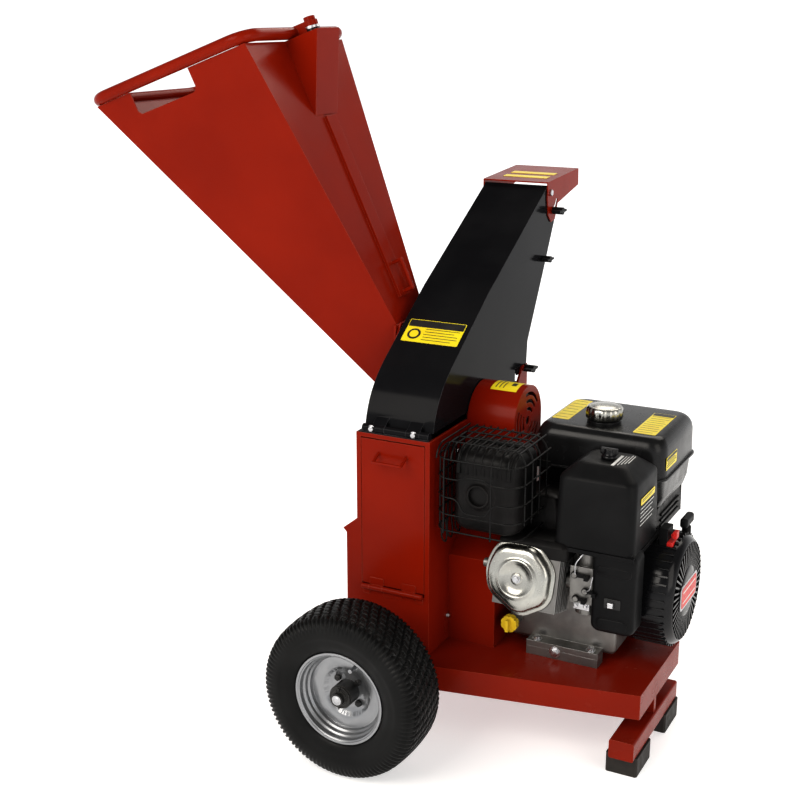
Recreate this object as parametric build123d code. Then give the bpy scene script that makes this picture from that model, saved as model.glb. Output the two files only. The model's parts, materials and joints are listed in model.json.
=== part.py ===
from build123d import *
import os
from math import acos, asin, atan2, cos, degrees, hypot, pi, radians, sin

os.makedirs("parts", exist_ok=True)

# Petrol wood chipper on two wheels, in millimetres. X runs along the base from the hopper side to the
# engine's feet, Y runs across between the wheels and Z is up, with the ground at zero.

# ---------------------------------------------------------------- sizes that drive the model
fit_gap = 0.05             # radial running clearance of a shaft in its bush
turn_gap = 0.4             # side clearance between pieces that turn past each other
part_gap = 1.0             # clearance between a moving cover and its neighbour

tyre_r = 165.0
tyre_width = 127.0
tyre_wall = 9.0
bead_seat_r = 76.0
rim_flange_r = 92.0
rim_width = 104.0
rim_sheet = 2.5
wheel_track = 842.0        # between the two tyres' middle planes
axle_r = 12.5
bush_wall = 3.5
bush_length = 22.0
hub_wall = 7.0
hub_length = 84.0
hub_flange_r = 38.0
hub_flange_t = 5.0
lug_circle_r = 31.0
lug_r = 4.0
lug_count = 4

plate_top_z = 167.0
plate_t = 5.0
apron_depth = 50.0
apron_t = 4.0
base_left_x = -90.0
base_right_x = 497.0
base_half_y = 286.0        # at the wheel end
taper_start_x = 60.0
base_near_y = -206.0       # at the foot end
base_far_y = 50.0

foot_h = 40.0
foot_size_x = 62.0
foot_size_y = 87.0
tube_w = 49.0
tube_h = 38.0
tube_t = 3.0
post_t = 12.0
post_depth = 40.0

house_left_x = -81.0
house_right_x = 73.0
house_half_y = 241.0
house_top_z = 610.0
house_sheet = 5.0
door_w = 137.0
door_h = 303.0
door_t = 4.0
door_low_z = 296.0
door_gap = 2.5
door_pin_r = 2.5

hood_left_x = -76.0
hood_right_x = 71.0
hood_sheet = 3.0
hood_hinge_y = -233.0
hood_hinge_z = 618.4
hood_pin_r = 4.0
knuckle_wall = 4.0

rotor_z = 603.0
disc_r = 176.0
disc_t = 12.0
disc_left_x = -30.0
rotor_shaft_r = 12.5
cartridge_length = 46.0
bearing_outer_r = 26.0
bearing_w = 15.0
cartridge_wall = 6.0
scroll_r = 184.0
scroll_t = 3.0
paddle_count = 4
paddle_h = 42.0
knife_t = 5.0

crank_y = -12.0
crank_z = 309.0
crank_r = 12.7
pulley_x = 147.0           # middle plane of the belt drive
pulley_w = 34.0
rotor_pulley_r = 54.0
engine_pulley_r = 46.0
belt_w = 12.6
belt_t = 9.0
belt_pitch = 16.0
belt_gap = 0.3
guard_ridge_r = 72.0
guard_sheet = 2.5
guard_right_x = 174.0
guard_near_y = -150.0
guard_far_y = 118.0

mouth_tilt = 19.6         # degrees, rising towards the chute
mouth_length = 392.0
mouth_half_y = 187.0
mouth_low = (-723.0, 1203.0)
throat_half_y = 62.0
throat_low_z = 614.0
throat_high_z = 776.0
hopper_sheet = 3.0
bar_r = 12.5
bar_lift = 13.2
bar_out = 8.0

case_left_x = 192.0
case_right_x = 412.0
case_near_y = -110.0
case_far_y = 96.0
case_low_z = 185.0
case_top_z = 398.0
case_wall = 9.0
cyl_tilt = 13.5            # degrees the cylinder rises from level
cyl_x = 262.0
cyl_core_r = 50.0
cyl_bore_r = 44.0
fin_t = 3.0
fin_pitch = 9.0
fan_r = 112.0
fan_left_x = 420.0
fan_right_x = 528.0
fan_wall = 3.0


# ---------------------------------------------------------------- helpers
def block(x0, x1, y0, y1, z0, z1):
    return Pos((x0 + x1) / 2, (y0 + y1) / 2, (z0 + z1) / 2) * Box(x1 - x0, y1 - y0, z1 - z0)


def soft_block(x0, x1, y0, y1, z0, z1, r):
    solid = block(x0, x1, y0, y1, z0, z1)
    return fillet(solid.edges(), r)


def rod_x(r, x0, x1, y, z):
    return Pos((x0 + x1) / 2, y, z) * Rot(0, 90, 0) * Cylinder(r, x1 - x0)


def rod_y(r, y0, y1, x, z):
    return Pos(x, (y0 + y1) / 2, z) * Rot(90, 0, 0) * Cylinder(r, y1 - y0)


def rod_z(r, z0, z1, x, y):
    return Pos(x, y, (z0 + z1) / 2) * Cylinder(r, z1 - z0)


def hex_x(r, x0, x1, y, z):
    face = Plane(origin=(x0, y, z), z_dir=(1, 0, 0)) * RegularPolygon(r, 6)
    return extrude(face, amount=x1 - x0, dir=(1, 0, 0))


def hex_y(r, y0, y1, x, z):
    face = Plane(origin=(x, y0, z), z_dir=(0, 1, 0)) * RegularPolygon(r, 6)
    return extrude(face, amount=y1 - y0, dir=(0, 1, 0))


def hex_z(r, z0, z1, x, y):
    face = Plane(origin=(x, y, z0), z_dir=(0, 0, 1)) * RegularPolygon(r, 6)
    return extrude(face, amount=z1 - z0, dir=(0, 0, 1))


def slab_x(points, x0, x1):
    # A flat outline of (y, z) points, made solid between two values of x.
    face = Face(Wire.make_polygon([Vector(x0, y, z) for y, z in points], close=True))
    return extrude(face, amount=x1 - x0, dir=(1, 0, 0))


def slab_y(points, y0, y1):
    face = Face(Wire.make_polygon([Vector(x, y0, z) for x, z in points], close=True))
    return extrude(face, amount=y1 - y0, dir=(0, 1, 0))


def slab_z(points, z0, z1):
    face = Face(Wire.make_polygon([Vector(x, y, z0) for x, y in points], close=True))
    return extrude(face, amount=z1 - z0, dir=(0, 0, 1))


def wire_rod(points, r, closed=False):
    # A bent wire: straight legs with a ball at every bend.
    legs = list(zip(points, points[1:] + points[:1])) if closed else list(zip(points, points[1:]))
    rod = Part()
    for start, end in legs:
        a = Vector(*start)
        b = Vector(*end)
        leg = Solid.make_cylinder(r, (b - a).length, Plane(origin=a, z_dir=b - a))
        rod = rod + leg
    for point in points if closed else points[1:-1]:
        rod = rod + Pos(*point) * Sphere(r)
    return rod


def spin_y(profile, y_side):
    # Turn a closed outline of (radius, y) points about the Y axis through the wheel's middle.
    face = Face(Wire.make_polygon([Vector(r, y_side * y, 0) for r, y in profile], close=True))
    return revolve(face, Axis.Y)


def tangent_point(centre, r, point, side):
    # Where a line from the point touches the circle, on the chosen side.
    across = point[0] - centre[0]
    up = point[1] - centre[1]
    spread = acos(r / hypot(across, up))
    angle = atan2(up, across) + side * spread
    return (centre[0] + r * cos(angle), centre[1] + r * sin(angle))


def arc_points(centre, r, start, end, count):
    steps = [start + (end - start) * i / count for i in range(count + 1)]
    return [(centre[0] + r * cos(a), centre[1] + r * sin(a)) for a in steps]


pieces = {}


# ---------------------------------------------------------------- wheels
def wheel(side, name):
    # side is -1 for the wheel at low Y and 1 for the other; every wheel size is measured outwards.
    half = tyre_width / 2
    rim_half = rim_width / 2
    seat_half = rim_half - rim_sheet
    place = Pos(0, side * wheel_track / 2, tyre_r)
    wall = tyre_wall
    shoulder = 30.0
    bead_top_r = rim_flange_r + 1.0
    side_high = [(bead_top_r, seat_half), (tyre_r * 0.74, half), (tyre_r - 9, half - 9)]
    side_low = [(r, -y) for r, y in side_high]
    in_high = [(bead_top_r, seat_half - wall - 2), (tyre_r * 0.74, half - wall),
               (tyre_r - 9 - wall, half - 9 - wall)]
    in_low = [(r, -y) for r, y in in_high]
    outer = [Spline(side_high), Spline(side_low)]
    crown = Polyline(side_high[-1], (tyre_r, half - shoulder), (tyre_r, shoulder - half), side_low[-1])
    inner = [Spline(in_high), Spline(in_low)]
    in_crown = Polyline(in_high[-1], (tyre_r - wall - 1, half - shoulder),
                        (tyre_r - wall - 1, shoulder - half), in_low[-1])
    bead_in = seat_half - wall - 2
    bead_high = Polyline((bead_top_r, bead_in), (bead_seat_r, bead_in), (bead_seat_r, seat_half),
                         (bead_top_r, seat_half))
    bead_low = Polyline((bead_top_r, -bead_in), (bead_seat_r, -bead_in), (bead_seat_r, -seat_half),
                        (bead_top_r, -seat_half))
    section = make_face(outer + inner + [crown, in_crown, bead_high, bead_low])
    pieces[name + "_tyre"] = place * revolve(section, Axis.Y)

    barrel_in = bead_seat_r - rim_sheet
    disc_y = 8.0
    step_y = 17.0
    hub_outer_r = axle_r + fit_gap + bush_wall + hub_wall
    rim = spin_y([(rim_flange_r, rim_half), (rim_flange_r, seat_half), (bead_seat_r, seat_half),
                  (bead_seat_r, -seat_half), (rim_flange_r, -seat_half), (rim_flange_r, -rim_half),
                  (barrel_in, -rim_half), (barrel_in, rim_half)], 1)
    dish = spin_y([(hub_outer_r, disc_y), (44.0, disc_y), (54.0, step_y), (barrel_in + 0.5, step_y),
                   (barrel_in + 0.5, step_y + 3), (52.0, step_y + 3), (42.0, disc_y + 3),
                   (hub_outer_r, disc_y + 3)], side)
    rim = rim + dish
    flange_in = disc_y - hub_flange_t
    lug_holes = Part()
    lugs = Part()
    for i in range(lug_count):
        angle = 2 * pi * (i + 0.5) / lug_count
        x = lug_circle_r * cos(angle)
        z = lug_circle_r * sin(angle)
        ends = sorted([side * (flange_in - 4), side * (disc_y + 9)])
        head = sorted([side * (disc_y + 3), side * (disc_y + 8)])
        nut = sorted([side * (flange_in - 6), side * flange_in])
        lug_holes = lug_holes + rod_y(lug_r, ends[0] - 9, ends[1] + 9, x, z)
        lugs = lugs + rod_y(lug_r, ends[0], ends[1], x, z)
        lugs = lugs + hex_y(lug_r * 1.7, head[0], head[1], x, z)
        lugs = lugs + hex_y(lug_r * 1.7, nut[0], nut[1], x, z)
    valve_x = (barrel_in - 12) * cos(radians(70))
    valve_z = (barrel_in - 12) * sin(radians(70))
    valve_ends = sorted([side * (step_y - 8), side * (step_y + 26)])
    valve = rod_y(4.0, valve_ends[0], valve_ends[1], valve_x, valve_z)
    rim = rim - lug_holes - rod_y(4.0, -60, 60, valve_x, valve_z).intersect(
        block(-90, 90, -rim_half + 12, rim_half - 12, -90, 90))
    pieces[name + "_rim"] = place * rim
    pieces[name + "_lug_bolts"] = place * lugs
    pieces[name + "_valve"] = place * valve

    hub_in = -hub_length / 2
    hub_out = hub_length / 2
    hub_ends = sorted([side * hub_in, side * hub_out])
    flange_ends = sorted([side * flange_in, side * disc_y])
    hub = rod_y(hub_outer_r, hub_ends[0], hub_ends[1], 0, 0)
    hub = hub + rod_y(hub_flange_r, flange_ends[0], flange_ends[1], 0, 0)
    bush_outer_r = axle_r + fit_gap + bush_wall
    hub = hub - rod_y(axle_r + 2, hub_ends[0] - 1, hub_ends[1] + 1, 0, 0) - lug_holes
    bushes = Part()
    for end in (hub_in, hub_out - bush_length):
        seat = sorted([side * end, side * (end + bush_length)])
        sleeve = rod_y(bush_outer_r, seat[0], seat[1], 0, 0)
        hub = hub - sleeve
        bushes = bushes + (sleeve - rod_y(axle_r + fit_gap, seat[0] - 1, seat[1] + 1, 0, 0))
    pieces[name + "_hub"] = place * hub
    pieces[name + "_bushes"] = place * bushes

    # The stub axle is welded to a square flange on the side of the base and doesn't turn.
    flange_face = wheel_track / 2 - base_half_y
    collar_in = hub_in - turn_gap - 5
    washer_out = hub_out + turn_gap + 3
    shaft_out = washer_out + 12
    collar = sorted([side * collar_in, side * (hub_in - turn_gap)])
    shaft = sorted([side * shaft_out, side * (-flange_face)])
    plate = sorted([side * (-flange_face), side * (8 - flange_face)])
    axle = rod_y(axle_r, shaft[0], shaft[1], 0, 0)
    axle = axle + rod_y(axle_r + 6, collar[0], collar[1], 0, 0)
    plate_low = plate_top_z - apron_depth - tyre_r
    axle = axle + block(-40, 40, plate[0], plate[1], plate_low, plate_low + 85)
    pin_y = side * (washer_out + 3.2)
    pin = rod_z(2.0, -axle_r - 8, axle_r + 8, 0, pin_y)
    pieces[name + "_axle"] = place * axle
    washer = sorted([side * (hub_out + turn_gap), side * washer_out])
    ring = rod_y(axle_r + 9, washer[0], washer[1], 0, 0) - rod_y(axle_r, washer[0], washer[1], 0, 0)
    touch = sorted([side * washer_out, side * (washer_out + 2)])
    spacer = rod_y(axle_r + 3, touch[0], touch[1], 0, 0) - rod_y(axle_r, touch[0], touch[1], 0, 0)
    pieces[name + "_axle_pin"] = place * (ring + spacer + pin)


wheel(-1, "near")
wheel(1, "far")

# ---------------------------------------------------------------- base and stand
base_outline = [
    (base_left_x, -base_half_y),
    (taper_start_x, -base_half_y),
    (base_right_x, base_near_y),
    (base_right_x, base_far_y),
    (taper_start_x + 60, base_half_y),
    (base_left_x, base_half_y),
]
base_low_z = plate_top_z - apron_depth
outline_face = make_face(Polyline(*base_outline, close=True))
inside_face = offset(outline_face, amount=-apron_t)
base = extrude(Pos(0, 0, base_low_z) * outline_face, amount=apron_depth)
base = base - extrude(Pos(0, 0, base_low_z) * inside_face, amount=apron_depth - plate_t)

tube_right_x = base_right_x
tube_left_x = tube_right_x - tube_w
tube_near_y = -232.0
tube_far_y = 50.0
tube_top_z = foot_h + tube_h
cross_tube = block(tube_left_x, tube_right_x, tube_near_y, tube_far_y, foot_h, tube_top_z)
cross_tube = fillet(cross_tube.edges().filter_by(Axis.Y), 4)
cross_tube = cross_tube - block(tube_left_x + tube_t, tube_right_x - tube_t, tube_near_y + tube_t,
                                tube_far_y - tube_t, foot_h + tube_t, tube_top_z - tube_t)
tube_mid_x = (tube_left_x + tube_right_x) / 2
tube_mid_y = (tube_near_y + tube_far_y) / 2

feet = {
    "foot_near": tube_near_y + 16,
    "foot_far": tube_far_y - 82,
}
foot_bolt_r = 4.0
foot_bolts = Part()
for foot_name, foot_y0 in feet.items():
    foot_mid_y = foot_y0 + foot_size_y / 2
    foot_x0 = tube_right_x + 3 - foot_size_x
    pad = block(foot_x0, foot_x0 + foot_size_x, foot_y0, foot_y0 + foot_size_y, 0, foot_h)
    pad = chamfer(pad.edges().filter_by(Axis.Z), 3)
    pad = pad - rod_z(9, 0, 12, tube_mid_x, foot_mid_y)
    pad = pad - rod_z(foot_bolt_r, 12, foot_h, tube_mid_x, foot_mid_y)
    pieces[foot_name] = pad
    foot_bolts = foot_bolts + rod_z(foot_bolt_r, 5, foot_h + tube_t + 6, tube_mid_x, foot_mid_y)
    foot_bolts = foot_bolts + hex_z(7.5, 5, 12, tube_mid_x, foot_mid_y)
    foot_bolts = foot_bolts + hex_z(7.0, foot_h + tube_t, foot_h + tube_t + 6, tube_mid_x, foot_mid_y)
    cross_tube = cross_tube - rod_z(foot_bolt_r, foot_h - 1, foot_h + tube_t + 1, tube_mid_x, foot_mid_y)
cross_tube = cross_tube - rod_z(5, foot_h - 1, foot_h + tube_t + 1, tube_mid_x, tube_mid_y)
pieces["cross_tube"] = cross_tube
pieces["foot_bolts"] = foot_bolts
pieces["stand_post"] = block(base_right_x - apron_t - post_depth, base_right_x - apron_t,
                             tube_mid_y - post_t / 2, tube_mid_y + post_t / 2,
                             tube_top_z, plate_top_z - plate_t)

# ---------------------------------------------------------------- rotor housing and its door
door_left_x = -75.0
door_right_x = door_left_x + door_w
open_left = door_left_x - door_gap / 2
open_right = door_right_x + door_gap / 2
open_low = door_low_z - 8
open_high = door_low_z + door_h + door_gap
tab_r = 66.0
tab_start = asin((house_top_z - rotor_z) / tab_r)
left_x = house_left_x - house_sheet
house_in_left = house_left_x
house_in_right = house_right_x - house_sheet
front_y = -house_half_y

right_wall = slab_x(
    [(front_y, plate_top_z), (house_half_y, plate_top_z), (house_half_y, house_top_z + 44),
     (house_half_y - 24, house_top_z + 44), (house_half_y - 60, house_top_z)]
    + arc_points((0, rotor_z), tab_r, tab_start, pi - tab_start, 16)
    + [(front_y, house_top_z)],
    house_in_right, house_right_x)
left_wall = slab_x(
    [(front_y, plate_top_z), (house_half_y, plate_top_z), (house_half_y, house_top_z),
     (throat_half_y + 26, house_top_z + 60), (throat_half_y + 20, throat_high_z + 12),
     (-throat_half_y, throat_high_z + 12), (-throat_half_y - 24, throat_high_z - 30),
     (-throat_half_y - 70, house_top_z + 60), (front_y + 40, house_top_z), (front_y, house_top_z)],
    left_x, house_in_left)
left_wall = left_wall - block(left_x - 1, house_in_left + 1, -throat_half_y, throat_half_y,
                              throat_low_z, throat_high_z)
front_wall = block(house_in_left, house_in_right, front_y, front_y + house_sheet, plate_top_z, house_top_z)
front_wall = front_wall - block(open_left, open_right, front_y - 1, front_y + house_sheet + 1,
                                open_low, open_high)
rear_wall = block(house_in_left, house_in_right, house_half_y - house_sheet, house_half_y,
                  plate_top_z, house_top_z)
housing = left_wall + right_wall + front_wall + rear_wall
bore_r = rotor_shaft_r + 6
housing = housing - rod_x(bore_r, house_in_right - 1, house_right_x + 1, 0, rotor_z)

# The door hangs on a pin along its bottom edge, just in front of the wall.
door_pin_y = front_y - 4.0
door_pin_z = open_low + 2.0
knuckle_r = door_pin_r + 3.0
door = block(door_left_x, door_right_x, front_y, front_y + door_t, door_low_z, door_low_z + door_h)
door_bore = rod_x(door_pin_r + fit_gap, door_left_x - 5, door_right_x + 5, door_pin_y, door_pin_z)
door_spans = [(door_left_x + 18, door_left_x + 48), (door_right_x - 48, door_right_x - 18)]
for span in door_spans:
    leaf = block(span[0], span[1], front_y - 1.5, front_y, door_pin_z, door_low_z + 14)
    door = door + leaf + rod_x(knuckle_r, span[0], span[1], door_pin_y, door_pin_z)
door = door - door_bore
for span in door_spans:
    housing = housing - rod_x(knuckle_r + part_gap, span[0] - turn_gap, span[1] + turn_gap,
                              door_pin_y, door_pin_z)
fixed_spans = [(door_left_x + 2, door_spans[0][0] - turn_gap),
               (door_spans[0][1] + turn_gap, door_spans[1][0] - turn_gap),
               (door_spans[1][1] + turn_gap, door_right_x - 2)]
for span in fixed_spans:
    leaf = block(span[0], span[1], front_y - 1.5, front_y, door_pin_z - 16, door_pin_z)
    housing = housing + leaf + rod_x(knuckle_r, span[0], span[1], door_pin_y, door_pin_z)
housing = housing - rod_x(door_pin_r, door_left_x - 5, door_right_x + 5, door_pin_y, door_pin_z)
pieces["door_hinge_pin"] = rod_x(door_pin_r, door_left_x + 2, door_right_x - 2, door_pin_y, door_pin_z)
handle_z = door_low_z + door_h - 34
handle_half = 30.0
handle_mid_x = (door_left_x + door_right_x) / 2
handle_r = 3.0
handle_out = 24.0
handle_path = [(handle_mid_x - handle_half, front_y, handle_z + 8),
               (handle_mid_x - handle_half, front_y - handle_out, handle_z - 4),
               (handle_mid_x + handle_half, front_y - handle_out, handle_z - 4),
               (handle_mid_x + handle_half, front_y, handle_z + 8)]
handle = wire_rod(handle_path, handle_r)
pieces["door_handle"] = handle - block(-200, 200, front_y, front_y + 20, 0, 900)
pieces["housing_door"] = door

# A closed stiffening box is welded down the hopper side of the housing.
side_box = slab_y([(left_x, plate_top_z), (left_x - 24, plate_top_z), (left_x - 24, 396.0),
                   (left_x - 32, 404.0), (left_x, 430.0)], front_y, -60.0)
side_box = side_box - slab_y([(left_x, plate_top_z), (left_x - 21, plate_top_z), (left_x - 21, 394.0),
                              (left_x, 420.0)], front_y + 3, -63.0)
pieces["side_box"] = side_box

scroll_outer = rod_x(scroll_r + scroll_t, house_in_left, house_in_right, 0, rotor_z)
scroll = scroll_outer - rod_x(scroll_r, house_in_left - 1, house_in_right + 1, 0, rotor_z)
scroll = scroll & block(house_in_left, house_in_right, -house_half_y, house_half_y, 0, rotor_z - 4)
pieces["scroll_liner"] = scroll

# ---------------------------------------------------------------- rotor, carried overhung on the drive side
cart_flange_r = 45.0
cart_x0 = house_right_x
cart_x1 = cart_x0 + cartridge_length
cartridge = rod_x(bearing_outer_r + cartridge_wall, cart_x0, cart_x1, 0, rotor_z)
cartridge = cartridge + rod_x(cart_flange_r, cart_x0, cart_x0 + 8, 0, rotor_z)
cartridge = cartridge - rod_x(bore_r, cart_x0 - 1, cart_x1 + 1, 0, rotor_z)
bearings = Part()
for seat_x in (cart_x0 + 2, cart_x1 - bearing_w - 2):
    seat = rod_x(bearing_outer_r, seat_x, seat_x + bearing_w, 0, rotor_z)
    cartridge = cartridge - seat
    bearings = bearings + (seat - rod_x(rotor_shaft_r + fit_gap, seat_x - 1, seat_x + bearing_w + 1,
                                        0, rotor_z))
cart_bolts = Part()
for i in range(4):
    angle = pi / 4 + i * pi / 2
    bolt_y = 38.5 * cos(angle)
    bolt_z = rotor_z + 38.5 * sin(angle)
    shank = rod_x(3.0, house_in_right, cart_x0 + 8, bolt_y, bolt_z)
    housing = housing - shank
    cartridge = cartridge - shank
    cart_bolts = cart_bolts + shank + hex_x(5.0, cart_x0 + 8, cart_x0 + 12, bolt_y, bolt_z)
pieces["rotor_housing"] = housing
pieces["bearing_cartridge"] = cartridge
pieces["rotor_bearings"] = bearings
pieces["cartridge_bolts"] = cart_bolts

disc_right_x = disc_left_x + disc_t
shaft_end_x = pulley_x + pulley_w / 2 + 4
rotor_shaft = rod_x(rotor_shaft_r, disc_left_x - 6, shaft_end_x, 0, rotor_z)
hub_disc = rod_x(30, disc_right_x, disc_right_x + 20, 0, rotor_z)
disc = rod_x(disc_r, disc_left_x, disc_right_x, 0, rotor_z)
paddle_right_x = house_in_right - 5
knife_len = 96.0
knife_w = 44.0
knives = Part()
for i in range(2):
    turn = Pos(0, 0, rotor_z) * Rot(i * 180, 0, 0)
    slot = block(disc_left_x - 20, disc_right_x + 20, -8, 4, 58, 58 + knife_len)
    disc = disc - turn * slot
    knife_x = disc_left_x - knife_t
    blade = slab_z([(disc_left_x, 4), (knife_x, -2), (knife_x, knife_w), (disc_left_x, knife_w)],
                   58, 58 + knife_len)
    for hole_z in (76, 106, 136):
        blade = blade - rod_x(3.3, knife_x - 1, disc_left_x + 1, 26, hole_z)
    knives = knives + turn * blade
knife_bolts = Part()
for i in range(2):
    turn = Pos(0, 0, rotor_z) * Rot(i * 180, 0, 0)
    for hole_z in (76, 106, 136):
        bolt = rod_x(3.3, disc_left_x - knife_t, disc_right_x + 5, 26, hole_z)
        disc = disc - turn * bolt
        nut = hex_x(6.0, disc_right_x, disc_right_x + 5, 26, hole_z)
        knife_bolts = knife_bolts + turn * (bolt + nut)
paddles = Part()
for i in range(paddle_count):
    turn = Pos(0, 0, rotor_z) * Rot(45 + i * 360 / paddle_count, 0, 0)
    blade = block(disc_right_x, paddle_right_x, -4, 4, disc_r - 6 - paddle_h, disc_r - 6)
    foot = block(disc_right_x, disc_right_x + 8, -4, 24, disc_r - 6 - paddle_h, disc_r - 6)
    paddles = paddles + turn * (blade + foot)
disc = disc + hub_disc - rod_x(rotor_shaft_r, disc_left_x - 1, disc_right_x + 30, 0, rotor_z)
pieces["rotor_disc"] = disc
pieces["knives"] = knives
pieces["knife_bolts"] = knife_bolts
pieces["paddles"] = paddles
pieces["rotor_shaft"] = rotor_shaft

anvil_gap = 2.0
pieces["bed_knife"] = block(house_in_left, disc_left_x - knife_t - anvil_gap, -throat_half_y,
                            throat_half_y, throat_low_z - 12, throat_low_z)


# ---------------------------------------------------------------- belt drive
def pulley(r, bore, y, z):
    x0 = pulley_x - pulley_w / 2
    x1 = pulley_x + pulley_w / 2
    wheel_solid = rod_x(r, x0, x1, y, z)
    for mid in (pulley_x - belt_pitch / 2, pulley_x + belt_pitch / 2):
        half = belt_w / 2 + belt_gap
        groove = rod_x(r + 1, mid - half, mid + half, y, z)
        groove = groove - rod_x(r - belt_t - 2, mid - half - 1, mid + half + 1, y, z)
        wheel_solid = wheel_solid - groove
    return wheel_solid - rod_x(bore, x0 - 1, x1 + 1, y, z)


def belt_loop(mid):
    # Outer edge flush with both pulleys; straight runs lie on the common tangents.
    solids = []
    for inset in (0.0, belt_t):
        r1 = rotor_pulley_r - inset
        r2 = engine_pulley_r - inset
        dy = crank_y
        dz = crank_z - rotor_z
        length = hypot(dy, dz)
        heading = atan2(dz, dy)
        spread = acos((r1 - r2) / length)
        top = arc_points((0, rotor_z), r1, heading + spread, heading + 2 * pi - spread, 40)
        low = arc_points((crank_y, crank_z), r2, heading - spread, heading + spread, 40)
        solids.append(slab_x(top + low, mid - belt_w / 2, mid + belt_w / 2))
    return solids[0] - solids[1]


pieces["rotor_pulley"] = pulley(rotor_pulley_r, rotor_shaft_r, 0, rotor_z)
pieces["engine_pulley"] = pulley(engine_pulley_r, crank_r, crank_y, crank_z)
pieces["drive_belts"] = belt_loop(pulley_x - belt_pitch / 2) + belt_loop(pulley_x + belt_pitch / 2)


def guard_outline(inset):
    r = guard_ridge_r - inset
    near = guard_near_y + inset
    far = guard_far_y - inset
    low = plate_top_z
    arc = arc_points((0, rotor_z), r, 0, pi, 32)
    return ([(far, low), (far, 395 - inset)] + [(r, 430 - inset)] + arc + [(-r, 402 - inset)]
            + [(near, 350 - inset), (near, low)])


guard = slab_x(guard_outline(0), house_right_x + 0.0, guard_right_x)
guard = guard - slab_x(guard_outline(guard_sheet), house_right_x - 1, guard_right_x - guard_sheet)
guard = guard - rod_x(42, guard_right_x - 10, guard_right_x + 1, crank_y, crank_z)
guard = guard - rod_x(9, guard_right_x - 10, guard_right_x + 1, 0, rotor_z)
for ring_r, spans in ((24.0, 3), (40.0, 3), (55.0, 3)):
    for i in range(spans):
        start = 2 * pi * i / spans + 0.5
        end = start + 2 * pi / spans * 0.62
        vent = arc_points((0, rotor_z), ring_r + 3.5, start, end, 14)
        vent = vent + arc_points((0, rotor_z), ring_r - 3.5, end, start, 14)
        guard = guard - slab_x(vent, guard_right_x - 10, guard_right_x + 1)
pieces["belt_guard"] = guard

# ---------------------------------------------------------------- hood and chute
hood_front = [(-222.0, 622.0), (-218.0, 637.0), (-212.5, 652.0), (-205.5, 667.0), (-196.5, 681.5),
              (-185.5, 695.5), (-172.5, 709.0), (-157.5, 721.5), (-141.0, 734.0)]
hood_outline = hood_front + [(31.0, 851.0), (337.0, 1029.0), (388.0, 959.0), (331.0, 856.0),
                             (243.0, 703.0), (237.0, 628.0)]


def inner_outline(points, t):
    face = make_face(Polyline(*points, close=True))
    inner = offset(face, amount=-t, kind=Kind.INTERSECTION)
    return inner


hood = slab_x(hood_outline, hood_left_x, hood_right_x)
hood_void_face = inner_outline(hood_outline, hood_sheet)
hood_void = Pos(hood_left_x + hood_sheet, 0, 0) * (
    Plane(origin=(0, 0, 0), x_dir=(0, 1, 0), z_dir=(1, 0, 0)) * hood_void_face)
hood_void = extrude(hood_void, amount=hood_right_x - hood_left_x - 2 * hood_sheet, dir=(1, 0, 0))
hood = hood - hood_void
# Open the bottom, the outlet at the top, the feed throat and the notch over the rotor shaft.
hood = hood - slab_x([(-222 + 5, 620), (-216, 628), (234, 633), (234, 620)], hood_left_x + hood_sheet,
                     hood_right_x - hood_sheet)
outlet = slab_x([(337.0 + 3, 1029.0 + 4), (337.0 - 6, 1029.0 - 9), (388.0 - 9, 959.0 + 2),
                 (388.0 + 4, 959.0 + 3)], hood_left_x + hood_sheet, hood_right_x - hood_sheet)
hood = hood - outlet
hood = hood - block(hood_left_x - 1, hood_left_x + hood_sheet + 1, -throat_half_y - 4, throat_half_y + 6,
                    house_top_z, throat_high_z + 4)
hood = hood - rod_x(tab_r + 3, house_in_right - 1, hood_right_x + 1, 0, rotor_z)
hood = hood - rod_x(rotor_shaft_r + 8, 40, hood_right_x + 1, 0, rotor_z)

# Hinge along the front bottom edge of the hood.
hood_knuckle_r = hood_pin_r + knuckle_wall
hood_spans = [(hood_left_x + 22, hood_left_x + 50), (hood_right_x - 50, hood_right_x - 22)]
for span in hood_spans:
    strap = slab_x([(hood_hinge_y, hood_hinge_z + hood_knuckle_r - 3),
                    (hood_hinge_y, hood_hinge_z + hood_knuckle_r),
                    (-216.0, 640.0), (-214.0, 632.0)], span[0], span[1])
    hood = hood + strap + rod_x(hood_knuckle_r, span[0], span[1], hood_hinge_y, hood_hinge_z)
hood = hood - rod_x(hood_pin_r + fit_gap, hood_left_x - 5, hood_right_x + 5, hood_hinge_y, hood_hinge_z)
bar_spans = [(hood_left_x + 2, hood_spans[0][0] - turn_gap),
             (hood_spans[0][1] + turn_gap, hood_spans[1][0] - turn_gap),
             (hood_spans[1][1] + turn_gap, hood_right_x - 2)]
hinge_bar = block(house_left_x, house_right_x - house_sheet, front_y, front_y + 18, house_top_z,
                  house_top_z + 3)
for span in hood_spans:
    clear_r = hood_knuckle_r + part_gap
    hinge_bar = hinge_bar - rod_x(clear_r, span[0] - turn_gap, span[1] + turn_gap,
                                  hood_hinge_y, hood_hinge_z)
for span in bar_spans:
    stand = block(span[0], span[1], hood_hinge_y - 4, hood_hinge_y + 4, house_top_z, hood_hinge_z)
    hinge_bar = hinge_bar + stand + rod_x(hood_knuckle_r, span[0], span[1], hood_hinge_y, hood_hinge_z)
hinge_bar = hinge_bar - rod_x(hood_pin_r, hood_left_x - 5, hood_right_x + 5, hood_hinge_y, hood_hinge_z)
pieces["hood_hinge_bar"] = hinge_bar
pieces["hood_hinge_pin"] = rod_x(hood_pin_r, hood_left_x + 2, hood_right_x - 2, hood_hinge_y, hood_hinge_z)


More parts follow.
